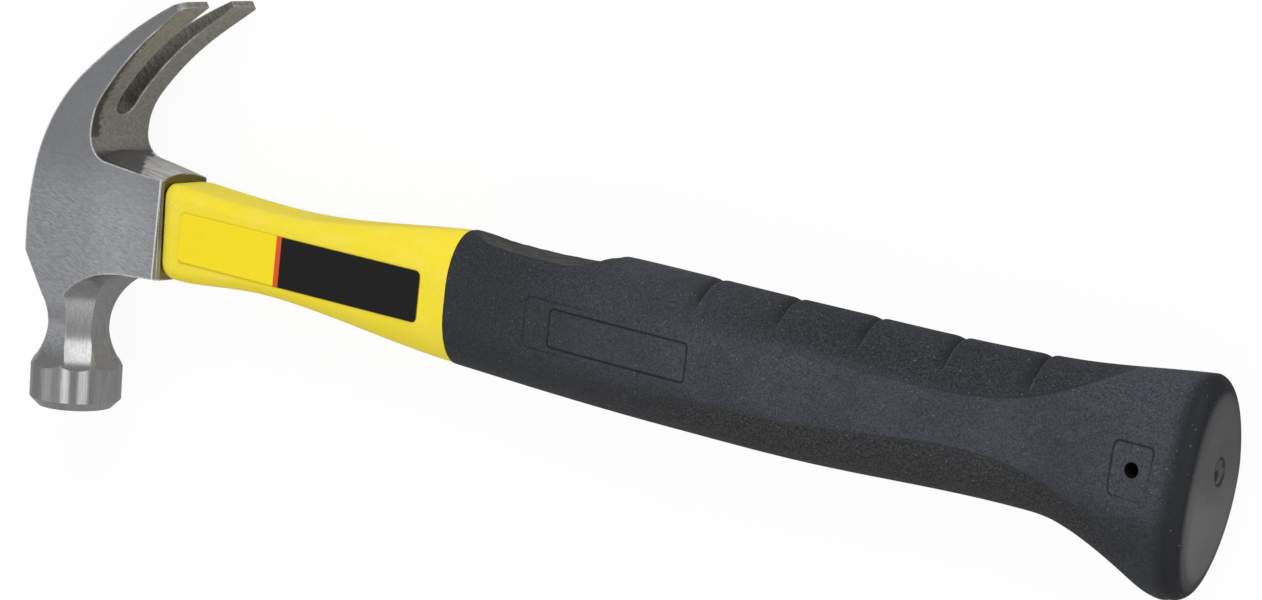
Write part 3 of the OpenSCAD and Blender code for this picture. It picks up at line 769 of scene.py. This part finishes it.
def stretch(vector, turn=0.0, lengths=(1, 1, 1), start=(0, 0)):
    """The vector measured from a start (x, y), turned back by degrees about Z, in the given lengths."""
    made = add("ShaderNodeMapping", vector_type="TEXTURE")
    feed(made.inputs["Vector"], vector)
    made.inputs["Location"].default_value = (*start, 0)
    made.inputs["Rotation"].default_value = (0, 0, math.radians(turn))
    made.inputs["Scale"].default_value = lengths
    return made.outputs[0]


def streaks(vector, turn, lengths, detail=3.0, rough=0.6):
    """Noise drawn out in the given lengths along an angle about Z."""
    return noise(stretch(vector, turn, lengths), 1.0, detail, rough)


def field(name):
    """A named value at the mesh's points."""
    return add("ShaderNodeAttribute", attribute_name=name).outputs["Fac"]


def split(vector):
    """A vector's three parts."""
    made = add("ShaderNodeSeparateXYZ")
    feed(made.inputs[0], vector)
    return made.outputs


def use(effect, **values):
    """The outputs of a node group with its inputs set."""
    made = add("ShaderNodeGroup", node_tree=effect)
    for key, value in values.items():
        feed(made.inputs[key], value)
    return made.outputs


def effect(name, inputs, outputs):
    """A shader node group that takes a Vector and named values, and puts out named values."""
    tree = bpy.data.node_groups.new(name, "ShaderNodeTree")
    tree.interface.new_socket("Vector", in_out="INPUT", socket_type="NodeSocketVector")
    for label, value in inputs.items():
        tree.interface.new_socket(label, in_out="INPUT", socket_type="NodeSocketFloat").default_value = value
    for label in outputs:
        tree.interface.new_socket(label, in_out="OUTPUT", socket_type="NodeSocketFloat")
    current.tree = tree
    return tree, add("NodeGroupInput").outputs, add("NodeGroupOutput").inputs


def grain_effect():
    """Moulded grain: two sizes of noise added, as a height from 0 to 1."""
    tree, given, put = effect("moulded_grain", {"Scale": 1.0, "Coarse": 0.3}, ["Height"])
    fine = noise(given["Vector"], given["Scale"], 3.0, 0.6)
    broad = noise(given["Vector"], times(given["Scale"], 0.22))
    feed(put["Height"], mix(given["Coarse"], fine, broad, "FLOAT"))
    return tree


def speck_effect():
    """Scattered specks: the middles of a few of the cells of a cell pattern, as a mask."""
    tree, given, put = effect("scattered_specks", {"Scale": 1.0, "Size": 0.2, "Share": 0.1}, ["Mask"])
    cells = add("ShaderNodeTexVoronoi")
    feed(cells.inputs["Vector"], given["Vector"])
    feed(cells.inputs["Scale"], given["Scale"])
    spot = step(cells.outputs["Distance"], given["Size"], 0.0)
    pick = calc("LESS_THAN", split(cells.outputs["Color"])[0], given["Share"])
    feed(put["Mask"], times(spot, pick))
    return tree


def outline_effect():
    """Rounded rectangle round the vector's origin: a line along its edge and a mask of its inside.

    Both come from its distance field. Reach and Rise are half its length and half its height.
    """
    tree, given, put = effect(
        "rounded_outline", {"Reach": 10.0, "Rise": 5.0, "Corner": 1.0, "Width": 0.3}, ["Line", "Inside"])
    x, y, _ = split(given["Vector"])
    past = []
    for part, half in ((x, given["Reach"]), (y, given["Rise"])):
        past.append(less(calc("ABSOLUTE", part), less(half, given["Corner"])))
    out = [most(p, 0.0) for p in past]
    round_part = calc("SQRT", calc("ADD", times(out[0], out[0]), times(out[1], out[1])))
    deep = calc("MINIMUM", most(*past), 0.0)
    gap = less(calc("ADD", round_part, deep), given["Corner"])
    feed(put["Line"], near(gap, given["Width"]))
    feed(put["Inside"], step(gap, 0.06, -0.06))
    return tree


# Materials


def material(name):
    """A new material, its Principled shader and the handle frame's place in millimetres."""
    made = bpy.data.materials.new(name)
    made.use_nodes = True
    current.tree = made.node_tree
    shader = made.node_tree.nodes["Principled BSDF"]
    handle = add("ShaderNodeMapping")
    feed(handle.inputs["Vector"], add("ShaderNodeTexCoord").outputs["Object"])
    handle.inputs["Location"].default_value = tuple(-HOME)
    handle.inputs["Scale"].default_value = (1 / MM, 1 / MM, 1 / MM)
    return made, shader, handle.outputs[0]


def finish(shader, colour, roughness, height, depth, normal=None):
    """Feeds a shader its colour, its roughness and a bump that follows a height, its depth in millimetres."""
    bump = add("ShaderNodeBump")
    bump.inputs["Distance"].default_value = depth * MM
    feed(bump.inputs["Height"], height)
    if normal is not None:
        feed(bump.inputs["Normal"], normal)
    feed(shader.inputs["Normal"], bump.outputs[0])
    feed(shader.inputs["Base Color"], colour)
    feed(shader.inputs["Roughness"], roughness)


class HeadPlaces:
    """Places, directions and noises on the head that its finishes follow, turned with the head's cant."""

    def __init__(self, handle):
        self.ahead = split(handle)[0]
        self.spot = stretch(handle, math.degrees(HEAD_CANT))
        self.x, self.y, self.z = split(self.spot)
        self.off = calc("ABSOLUTE", self.z)
        self.normal = add("ShaderNodeNewGeometry").outputs["Normal"]
        self.nx, self.ny, self.nz = split(self.normal)
        self.flat = calc("ABSOLUTE", self.nz)
        self.facing = plus(0.0, self.nx, 0.8, self.ny, -0.3)
        self.scale = noise(self.spot, 1.1, 4.0, 0.65)
        self.pits = noise(self.spot, 2.6, 3.0, 0.7)
        self.cloud = noise(self.spot, 0.16, 3.0, 0.55)

    def level(self, name):
        """Mask that goes from none to full between a named pair of heights."""
        return step(self.y, *HEIGHT[name])


def steel_masks(at):
    """Where each finish lies: ground sides, forged inner faces, slot walls, a crown with a painted highlight,
    polished neck.
    """
    mask = SimpleNamespace()
    mask.side = times(step(at.flat, 0.55, 0.8), step(at.off, 6.9, 7.05), at.level("over_poll"))
    mask.inner = times(left(mask.side), step(at.facing, -0.3, 0.1), at.level("inner"), step(at.x, 7.0, 9.0))
    mask.slot = times(step(at.off, 5.2, 4.7), at.level("slot"), step(at.flat, 0.25, 0.5))
    ragged = plus(at.x, at.z, -0.75, at.scale, 3.0, noise(at.spot, 0.5, 3.0, 0.6), 5.0)
    low = times(at.level("crown_from"), at.level("crown_to"))
    mask.crown = times(step(ragged, 22.2, 23.6), step(at.ny, 0.6, 0.85), low)
    mask.rough = most(times(mask.inner, left(mask.crown)), mask.slot)
    mask.polished = times(at.level("polished"), left(mask.side))
    mask.block = times(at.level("block_from"), at.level("block_to"))
    return mask


def forged_colour(at):
    """Forged faces between the claws: mottled scale, a pitted floor with painted shade, a torn dark brink, a
    scored line.
    """
    forged = mix(step(at.scale, 0.35, 0.7), *STEEL["forged"])
    floor = times(step(at.ny, 0.5, 0.8), at.level("floor"))
    # The crotch floor is darkened with painted shade over its real pits.
    forged = mix(floor, forged, mix(step(at.pits, 0.35, 0.7), *STEEL["floor"]))
    rise = most(less(at.y, SPLAY_FROM), 0.0)
    chord = calc("SQRT", less(SPLAY_R ** 2, times(rise, rise)))
    to_edge = less(less(HEAD_HALF + SPLAY_R, chord), at.z)
    torn = plus(to_edge, at.scale, 4.0, most(less(at.y, BRINK_NARROWS_Y), 0.0), 0.1)
    brink = times(step(at.facing, 0.1, 0.4), step(torn, 5.6, 4.2), at.level("brink"))
    scored = times(near(less(at.y, SCORE_Y), 0.7), step(at.pits, 0.4, 0.6))
    return coats(forged, STEEL, ("brink", brink, 0.8), ("scored", scored, 1.0))


def slot_colour(at):
    """Sheared walls of the nail slot: streaks through the claw's thickness, a painted bluish highlight at the
    slot's end.
    """
    shear = plus(0.0, streaks(at.spot, -50, (2.2, 0.4, 0.6), rough=0.65), 0.6, at.pits, 0.4)
    wall = mix(step(shear, 0.34, 0.68), *STEEL["slot"])
    # Painted bluish highlight at the slot's end, patchy.
    return mix(times(at.level("slot_end_highlight"), step(at.pits, 0.35, 0.6)), wall, STEEL["slot_end_highlight"])


def edge_wear_and_highlight(at, mask):
    """Mask of rubbed wear and painted highlight: patchy along the edges, fainter at the tips, strong at the
    mouth's corners.
    """
    edge = add("ShaderNodeAmbientOcclusion", inside=True, only_local=True, samples=6)
    edge.inputs["Distance"].default_value = RUB_WIDTH * MM
    uneven = plus(0.0, at.cloud, 0.5, at.pits, 0.5)
    wear_and_highlight = times(step(edge.outputs["AO"], 0.9, 0.62), at.level("wear_and_highlight"), step(uneven, 0.3, 0.62))
    quiet = most(at.level("tips"), times(step(at.off, 5.6, 5.1), step(at.z, -1.0, 1.0)))
    corner = times(near(less(at.ahead, BLOCK_REACH - 1.05), 0.3), mask.side, mask.block)
    return most(times(wear_and_highlight, plus(1.0, quiet, -0.75)), times(corner, 0.9))


def steel_roughness(at, mask, lines):
    """Roughness: streaked by the grinding, less on neck and poll, more on forged faces and the flare."""
    poll = at.level("poll")
    poll_sides = times(poll, step(at.flat, 0.9, 0.97))
    flare = times(at.level("flare"), step(at.nx, 0.1, 0.3), step(at.ny, 0.05, 0.2), step(at.flat, 0.6, 0.4))
    matte = plus(0.29, lines, 0.12, mask.polished, -0.1, mask.rough, 0.16)
    return plus(matte, poll, -0.05, poll_sides, 0.16, flare, 0.35)


def neck_normal(at):
    """The surface's normal, turned square to the cheeks on the neck's side facets, to soften the crease."""
    square = add("ShaderNodeCombineXYZ")
    feed(square.inputs[2], calc("SIGN", at.nz))
    share = times(at.level("bend_from"), at.level("bend_to"), step(at.flat, 0.75, 0.84))
    return mix(share, at.normal, square.outputs[0], "VECTOR")


def steel_material():
    """Ground steel: fine lines on the cheeks, smoother neck and poll, rough forging between the claws."""
    made, shader, handle = material("ground_steel")
    at = HeadPlaces(handle)
    mask = steel_masks(at)
    low_lines, high_lines = (streaks(at.spot, turn, (1.5, 0.26, 0.6)) for turn in (-14, -38))
    lines = mix(at.level("turned_lines"), low_lines, high_lines, "FLOAT")
    along = streaks(at.spot, 0, (0.4, 6.0, 0.4))
    grit = streaks(at.spot, -9, (5.0, 1.0, 0.7))

    ground = mix(step(lines, 0.32, 0.68), *STEEL["ground"])
    clouds = step(at.cloud, 0.3, 0.75)
    ground = coats(ground, STEEL, ("cloudy", clouds, 0.3), ("dull", at.level("dull"), 0.7))
    colour = mix(mask.polished, ground, mix(step(along, 0.3, 0.7), *STEEL["polished"]))
    between = mix(mask.slot, forged_colour(at), slot_colour(at))
    colour = mix(most(mask.inner, mask.slot), colour, between)
    # The crown gets a painted highlight: a painted reflection of a bright surround over its real ground grit.
    colour = mix(mask.crown, colour, mix(step(grit, 0.32, 0.66), *STEEL["crown"]))
    # The steel's end band at the mouth is painted dark olive: painted shade and a painted reflection of the
    # yellow jacket, paler lower down.
    lip = times(step(at.ahead, BLOCK_REACH - 0.85, BLOCK_REACH - 0.65), mask.block)
    colour = mix(times(lip, 0.9), colour, mix(at.level("paler_mouth_rim_shade"), *STEEL["mouth_rim_shade"]))
    wear_and_highlight = edge_wear_and_highlight(at, mask)
    # The edges are painted near white: real rubbing wear and a painted highlight along them.
    colour = mix(wear_and_highlight, colour, STEEL["wear_and_highlight"])
    # Less metal on the crown and the rubbed edges lets their painted highlights show as pale colour.
    feed(shader.inputs["Metallic"], plus(1.0, mask.crown, -0.25, wear_and_highlight, -0.6))
    brushed = times(lines, left(mask.polished), 0.16)
    height = mix(mask.rough, brushed, plus(at.scale, at.pits, 0.4), "FLOAT")
    matte = steel_roughness(at, mask, lines)
    finish(shader, colour, matte, height, 0.06, neck_normal(at))
    return made


def jacket_material(grain, specks):
    """Satin yellow plastic with a faint grain, pale smears, scuffs and dirt at the mouth and a few specks."""
    made, shader, handle = material("yellow_plastic")
    ahead = split(handle)[0]
    fine = use(grain, Vector=handle, Scale=3.2, Coarse=0.35)["Height"]
    smear = streaks(handle, 20, (9.0, 5.0, 5.0), detail=4.0)
    scuff = streaks(handle, 48, (3.5, 0.35, 0.6))
    front = step(ahead, SHOULDER_X, LEAD_X)
    dirt = times(step(ahead, LEAD_X + 2.2, LEAD_X - 0.4), step(smear, 0.35, 0.6))
    dust = use(specks, Vector=handle, Scale=0.45, Size=0.07, Share=0.12)["Mask"]
    colour = coats(
        mix(fine, *YELLOW["plastic"]), YELLOW,
        ("smear", step(smear, 0.45, 0.75), 0.24),
        ("scuff", times(step(scuff, 0.58, 0.7), front), 0.6),
        ("dirt", dirt, 0.2),
        ("speck", dust, 0.35),
    )
    shader.inputs["Specular IOR Level"].default_value = 0.25
    finish(shader, colour, plus(0.36, fine, 0.16), fine, 0.03)
    return made


def label_material(grain, outline):
    """Printed film: yellow, with a plain charcoal panel that has a thin red stripe at its head end."""
    made, shader, handle = material("label_film")
    ahead = split(handle)[0]
    fine = use(grain, Vector=handle, Scale=2.2, Coarse=0.5)["Height"]
    after_stripe, from_stripe = (
        step(ahead, x - PRINT_EDGE, x + PRINT_EDGE) for x in (PANEL_X, PANEL_X - STRIPE_WIDTH))
    stripe = less(from_stripe, after_stripe)
    reach = (LABEL_END - PANEL_X) / 2 + 3.0
    spot = stretch(handle, start=(LABEL_END - reach, LABEL_Y))
    panel = use(outline, Vector=spot, Reach=reach, Rise=LABEL_HALF, Corner=1.3)["Inside"]
    panel = times(panel, after_stripe)
    film = stretch(handle, start=(LABEL_X + LABEL_LEN / 2, LABEL_Y))
    rim = use(
        outline, Vector=film, Reach=LABEL_LEN / 2, Rise=LABEL_HALF, Corner=LABEL_CORNER, Width=0.22)["Line"]
    colour = mix(panel, mix(fine, *PRINT["film"]), mix(fine, *PRINT["panel"]))
    colour = coats(colour, PRINT, ("rim", rim, 0.28), ("stripe", stripe, 1.0))
    shader.inputs["Specular IOR Level"].default_value = 0.2
    finish(shader, colour, plus(0.3, panel, 0.12, fine, 0.12), fine, 0.01)
    return made


def rubber_tone(at):
    """Tones of the rubber: dark front, bluish band, coarse pad, coarse belly with painted shade, streaked rest,
    grey end face.
    """
    fine, coarse = step(at.fine, 0.36, 0.66), step(at.rough, 0.38, 0.66)
    band = times(step(at.s, *ALONG["smooth_band"]), step(at.y, -11.0, -4.0))
    tone = mix(band, mix(fine, *RUBBER["front"]), mix(fine, *RUBBER["band"]))
    tone = mix(times(at.pad, 0.85), tone, mix(coarse, *RUBBER["pad"]))
    # The belly's darker tone is partly painted shade on the underside, over its real coarse grain.
    tone = mix(times(at.belly, 0.9), tone, mix(coarse, *RUBBER["belly"]))
    tone = mix(times(step(at.cloud, 0.35, 0.75), 0.3), tone, RUBBER["cloudy"])
    drawn = streaks(at.handle, 0, (4.0, 0.5, 0.8))
    rest = mix(step(drawn, 0.35, 0.65), *RUBBER["rest"])
    tone = mix(step(at.rest_edge, -0.02, 0.1), tone, rest)
    # Painted shade on the rounding where the sides turn into the end face.
    turn = times(step(at.end_face, -1.0, 0.35), step(at.end_face, 1.05, 0.8))
    tone = mix(times(turn, 0.9), tone, RUBBER["turn"])
    # A painted highlight lightens the lower half of the end face, over a random cloud.
    sheen = plus(0.0, at.cloud, 0.7, step(at.y, 8.0, -8.0), 0.35)
    return mix(at.end, tone, mix(sheen, *RUBBER["end"]))


def sunk_lines(at, outline):
    """Mask of the dark lines round the plate, its outer frame and the square, fainter at the square's lower
    butt-end corner.
    """

    def line(centre, half, corner, width):
        spot = stretch(at.handle, start=centre)
        return use(outline, Vector=spot, Reach=half[0], Rise=half[1], Corner=corner, Width=width)["Line"]

    plate = line(PLATE, PLATE_HALF, 1.0, 0.36)
    frame_half = (PLATE_HALF[0] + 6.8, PLATE_HALF[1] + 1.3)
    outer = line((PLATE[0], PLATE[1] + 0.1), frame_half, 1.6, 0.3)
    outer = times(outer, step(at.s, *ALONG["plate_frame"]), 0.7)
    square = line(SQUARE, SQUARE_HALF, SINK_CORNER, 0.34)
    # The square's line fades from its upper corner towards the head to its lower corner towards the butt.
    uneven = calc("ADD", less(at.y, PIN[1]), less(PIN[0], at.s))
    square = times(square, plus(0.25, step(uneven, -5.0, 1.0), 0.75))
    side = step(calc("ABSOLUTE", at.z), 5.0, 6.5)
    return times(most(plate, outer, square), side)


def gate_lines(at):
    """Mask of the moulding mark on the end face: a torn ring with a torn spot in it."""
    torn = noise(at.handle, 0.9, 3.0, 0.6)
    gate = apart((at.y, GATE_Y, GATE_HALF_Y), (at.z, GATE_Z, GATE_HALF_Z))
    ring = times(near(less(gate, 1.0), 0.24), at.end, step(torn, 0.3, 0.5))
    spot = apart((at.y, GATE_Y - 0.7, 1.3), (at.z, GATE_Z + 0.4, 0.8))
    return most(ring, times(step(calc("ADD", spot, torn), 1.6, 1.2), at.end))


def grip_places(handle, grain):
    """Places, noises and zones on the grip that its finish follows."""
    names = ("pad_edge", "belly_edge", "rest_edge", "end_face", "groove")
    at = SimpleNamespace(handle=handle, **{name: field(name) for name in names})
    at.s, at.y, at.z = split(handle)
    at.fine = use(grain, Vector=handle, Scale=2.7, Coarse=0.12)["Height"]
    at.rough = use(grain, Vector=handle, Scale=2.5, Coarse=0.08)["Height"]
    at.cloud = noise(handle, 0.07, 3.0, 0.55)
    faint = step(at.s, *ALONG["faint_pad"])
    edge = step(at.pad_edge, plus(-0.3, faint, -2.0), plus(0.5, faint, 3.0))
    at.pad = times(edge, step(at.s, *ALONG["pad"]))
    at.belly = times(step(at.belly_edge, 0.6, -0.8), step(at.s, *ALONG["belly"]))
    at.coarse = most(at.pad, at.belly)
    at.end = step(at.end_face, 0.8, 1.05)
    return at


def grip_material(grain, specks, outline):
    """Black rubber: a smooth bluish middle band, coarser pad and belly, engraved lines and light specks."""
    made, shader, handle = material("black_rubber")
    at = grip_places(handle, grain)
    on_pad = times(step(at.pad_edge, -0.5, 1.5), step(at.y, 9.5, 13.5))
    # Painted shade on each groove's ramp and a painted highlight along its wall.
    ramp = times(step(at.groove, -GROOVE_RAMP, -0.3), step(at.groove, 0.25, 0.05), on_pad)
    wall = times(near(less(at.groove, 0.45), 0.3), on_pad)
    pad_line = times(near(calc("ADD", at.pad_edge, 0.15), 0.5), step(at.s, *ALONG["pad_line"]), 0.56)
    belly_line = times(near(at.belly_edge, 0.3), step(at.s, *ALONG["belly_line"]), 0.5)
    seam = most(sunk_lines(at, outline), gate_lines(at), pad_line, belly_line)
    ledge = near(calc("ADD", at.rest_edge, 0.12), 0.22)
    dots = use(specks, Vector=handle, Scale=0.9, Size=0.19, Share=0.2)["Mask"]
    fleck_share = plus(0.08, at.coarse, 0.14)
    fleck = use(specks, Vector=handle, Scale=1.7, Size=0.3, Share=fleck_share)["Mask"]
    # The pin hole's rounding and wall are painted near black as its shade.
    hole = apart((at.s, PIN[0], 1.0), (at.y, PIN[1], 1.0))

    tone = coats(
        rubber_tone(at), RUBBER,
        ("groove", ramp, 0.75),
        ("groove_wall_highlight", wall, 0.6),
        ("seam", seam, 0.85),
        ("ledge", ledge, 0.6),
        ("speck", most(times(dots, 0.75), times(fleck, 0.38)), 1.0),
        ("hole", step(hole, PIN_D / 2 + 0.12, PIN_D / 2 - 0.02), 1.0),
    )
    shader.inputs["Specular IOR Level"].default_value = 0.4
    grains = plus(0.0, at.fine, 0.35, at.rough, at.coarse)
    height = plus(times(grains, 0.5), seam, -1.6)
    finish(shader, tone, plus(0.52, at.fine, 0.1, at.coarse, 0.14), height, 0.12)
    return made


def core_material(name, grain, colour, roughness):
    """A material of the core that hardly shows: one colour with a fine grain."""
    made, shader, handle = material(name)
    fine = use(grain, Vector=handle, Scale=1.6, Coarse=0.4)["Height"]
    colour = mix(fine, tuple(part * 0.75 for part in colour), colour)
    finish(shader, colour, plus(roughness, fine, 0.15), fine, 0.03)
    return made


def dress(piece, made):
    """Gives a piece its one material."""
    piece.data.materials.clear()
    piece.data.materials.append(made)


def wear_edges(piece):
    """Modifiers that join a solid's loose triangles and flat faces, then round its sharp edges."""
    flat, sharp = math.radians(0.6), math.radians(28)
    rounding = {"width": EDGE_ROUND * MM, "segments": 2, "limit_method": "ANGLE", "angle_limit": sharp}
    for name, kind, settings in (
        ("join_faces", "WELD", {"merge_threshold": 0.02 * MM}),
        ("merge_flats", "DECIMATE", {"decimate_type": "DISSOLVE", "angle_limit": flat}),
        ("worn_edges", "BEVEL", rounding),
        ("flat_faces", "WEIGHTED_NORMAL", {"keep_sharp": False}),
    ):
        modifier = piece.modifiers.new(name, kind)
        for key, value in settings.items():
            setattr(modifier, key, value)


# Pieces

grain = grain_effect()
specks = speck_effect()
outline = outline_effect()

dress(nodes["head"], steel_material())
wear_edges(nodes["head"])
dress(nodes["core_rod"], core_material("fibreglass", grain, FIBREGLASS, 0.5))
dress(nodes["eye_epoxy"], core_material("epoxy", grain, EPOXY, 0.2))

jacket = loft("jacket_skin", jacket_grid())
dress(jacket, jacket_material(grain, specks))
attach(jacket, "root")
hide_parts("jacket")

film = label_material(grain, outline)
for node, side in (("label_front", 1), ("label_back", -1)):
    label = label_piece(node + "_film", node, side)
    dress(label, film)
    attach(label, "root")
    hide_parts(node)

rings, over_rest = grip_grid()
grip_points, grip_faces = pierce(rings, PIN, PIN_D / 2, PIN_ROUND, PIN_SPAN)
grip = mesh_object("grip_skin", place(grip_points), grip_faces, grip_fields(grip_points, over_rest))
dress(grip, grip_material(grain, specks, outline))
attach(grip, "root")
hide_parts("grip")


# Studio

FLOOR_HALF = 6.0
FLOOR_GAP = 0.2 * MM
CAMERA_AT = Vector((452.135, 140.583, 619.828)) * MM
CAMERA_AIM = Vector((13.731, 5.942, 12.469)) * MM
CAMERA_ROLL = math.radians(6.403)
CAMERA_LENS = 106.231
SENSOR_WIDTH = 36.0


def floor_piece():
    """A pale floor that looks white to the camera, dimmer in reflections, and keeps the soft shadow."""
    corners = np.array([(-1, -1, 0), (1, -1, 0), (1, 1, 0), (-1, 1, 0)]) * FLOOR_HALF
    piece = mesh_object("floor", corners + (0, 0, cad_box[0].z - FLOOR_GAP), [(0, 1, 2, 3)])
    made, shader, _ = material("pale_floor")
    shader.inputs["Base Color"].default_value = (0.55, 0.55, 0.55, 1)
    shader.inputs["Roughness"].default_value = 1.0
    shader.inputs["Specular IOR Level"].default_value = 0.0
    rays = add("ShaderNodeLightPath").outputs
    direct = most(rays["Is Camera Ray"], rays["Is Transmission Ray"])
    mirrored = rays["Is Glossy Ray"]
    white = add("ShaderNodeEmission")
    feed(white.inputs["Strength"], plus(0.0, direct, 1.05, mirrored, 0.3))
    choose = add("ShaderNodeMixShader")
    share = plus(0.0, direct, 0.9, mirrored, 0.7)
    for socket, value in zip(choose.inputs, (share, shader.outputs[0], white.outputs[0])):
        feed(socket, value)
    feed(made.node_tree.nodes["Material Output"].inputs["Surface"], choose.outputs[0])
    piece.data.materials.append(made)


def world(level):
    """An even white surround of the given brightness."""
    made = bpy.data.worlds.new("studio")
    made.use_nodes = True
    back = made.node_tree.nodes["Background"]
    back.inputs["Color"].default_value = (1, 1, 1, 1)
    back.inputs["Strength"].default_value = level
    bpy.context.scene.world = made


def softbox(name, azimuth, elevation, distance, size, level, mirrored=True):
    """An area light that faces the hammer: azimuth from +Z towards +X, elevation towards +Y, in degrees.

    Its distance and size are in metres. Its level is its brightness, where 1 is white, and mirrored says
    whether it shows in reflections.
    """
    a, e = math.radians(azimuth), math.radians(elevation)
    out = Vector((math.sin(a) * math.cos(e), math.sin(e), math.cos(a) * math.cos(e)))
    lamp = bpy.data.lights.new(name, "AREA")
    lamp.shape = "RECTANGLE"
    lamp.size, lamp.size_y = size
    lamp.energy = level * math.pi * size[0] * size[1]
    piece = bpy.data.objects.new(name, lamp)
    bpy.context.scene.collection.objects.link(piece)
    side = Vector((0, 1, 0)).cross(out).normalized()
    turn = Matrix((side, out.cross(side), out)).transposed()
    piece.matrix_world = Matrix.Translation(out * distance) @ turn.to_4x4()
    piece.visible_glossy = mirrored


def camera():
    """The photograph's view: from above the near side, towards the butt, with the claws up in the picture."""
    ahead = (CAMERA_AIM - CAMERA_AT).normalized()
    level = ahead.cross(Vector((0, 1, 0))).normalized()
    upright = level.cross(ahead)
    right = level * math.cos(CAMERA_ROLL) + upright * math.sin(CAMERA_ROLL)
    up = upright * math.cos(CAMERA_ROLL) - level * math.sin(CAMERA_ROLL)
    data = bpy.data.cameras.new("photo_view")
    data.sensor_fit = "HORIZONTAL"
    data.sensor_width = SENSOR_WIDTH
    data.lens = CAMERA_LENS
    data.clip_start, data.clip_end = 0.01, 20.0
    piece = bpy.data.objects.new("photo_view", data)
    bpy.context.scene.collection.objects.link(piece)
    piece.matrix_world = Matrix.Translation(CAMERA_AT) @ Matrix((right, up, -ahead)).transposed().to_4x4()
    bpy.context.scene.camera = piece


floor_piece()
world(0.28)
softbox("key", 20, 58, 1.6, (1.2, 1.2), 4.1, mirrored=False)
softbox("low_fill", 10, -50, 1.4, (0.8, 0.6), 4.6, mirrored=False)
softbox("left_strip", 10, -12, 1.1, (0.4, 1.6), 0.9)
softbox("right_strip", 58.5, -24, 1.1, (0.52, 1.9), 0.68)
softbox("high_panel", 46, 36, 1.0, (0.45, 0.8), 1.5)
softbox("cheek_panel", -38, -2, 1.2, (0.5, 0.8), 0.48)
camera()
bpy.context.scene.view_settings.view_transform = "Standard"
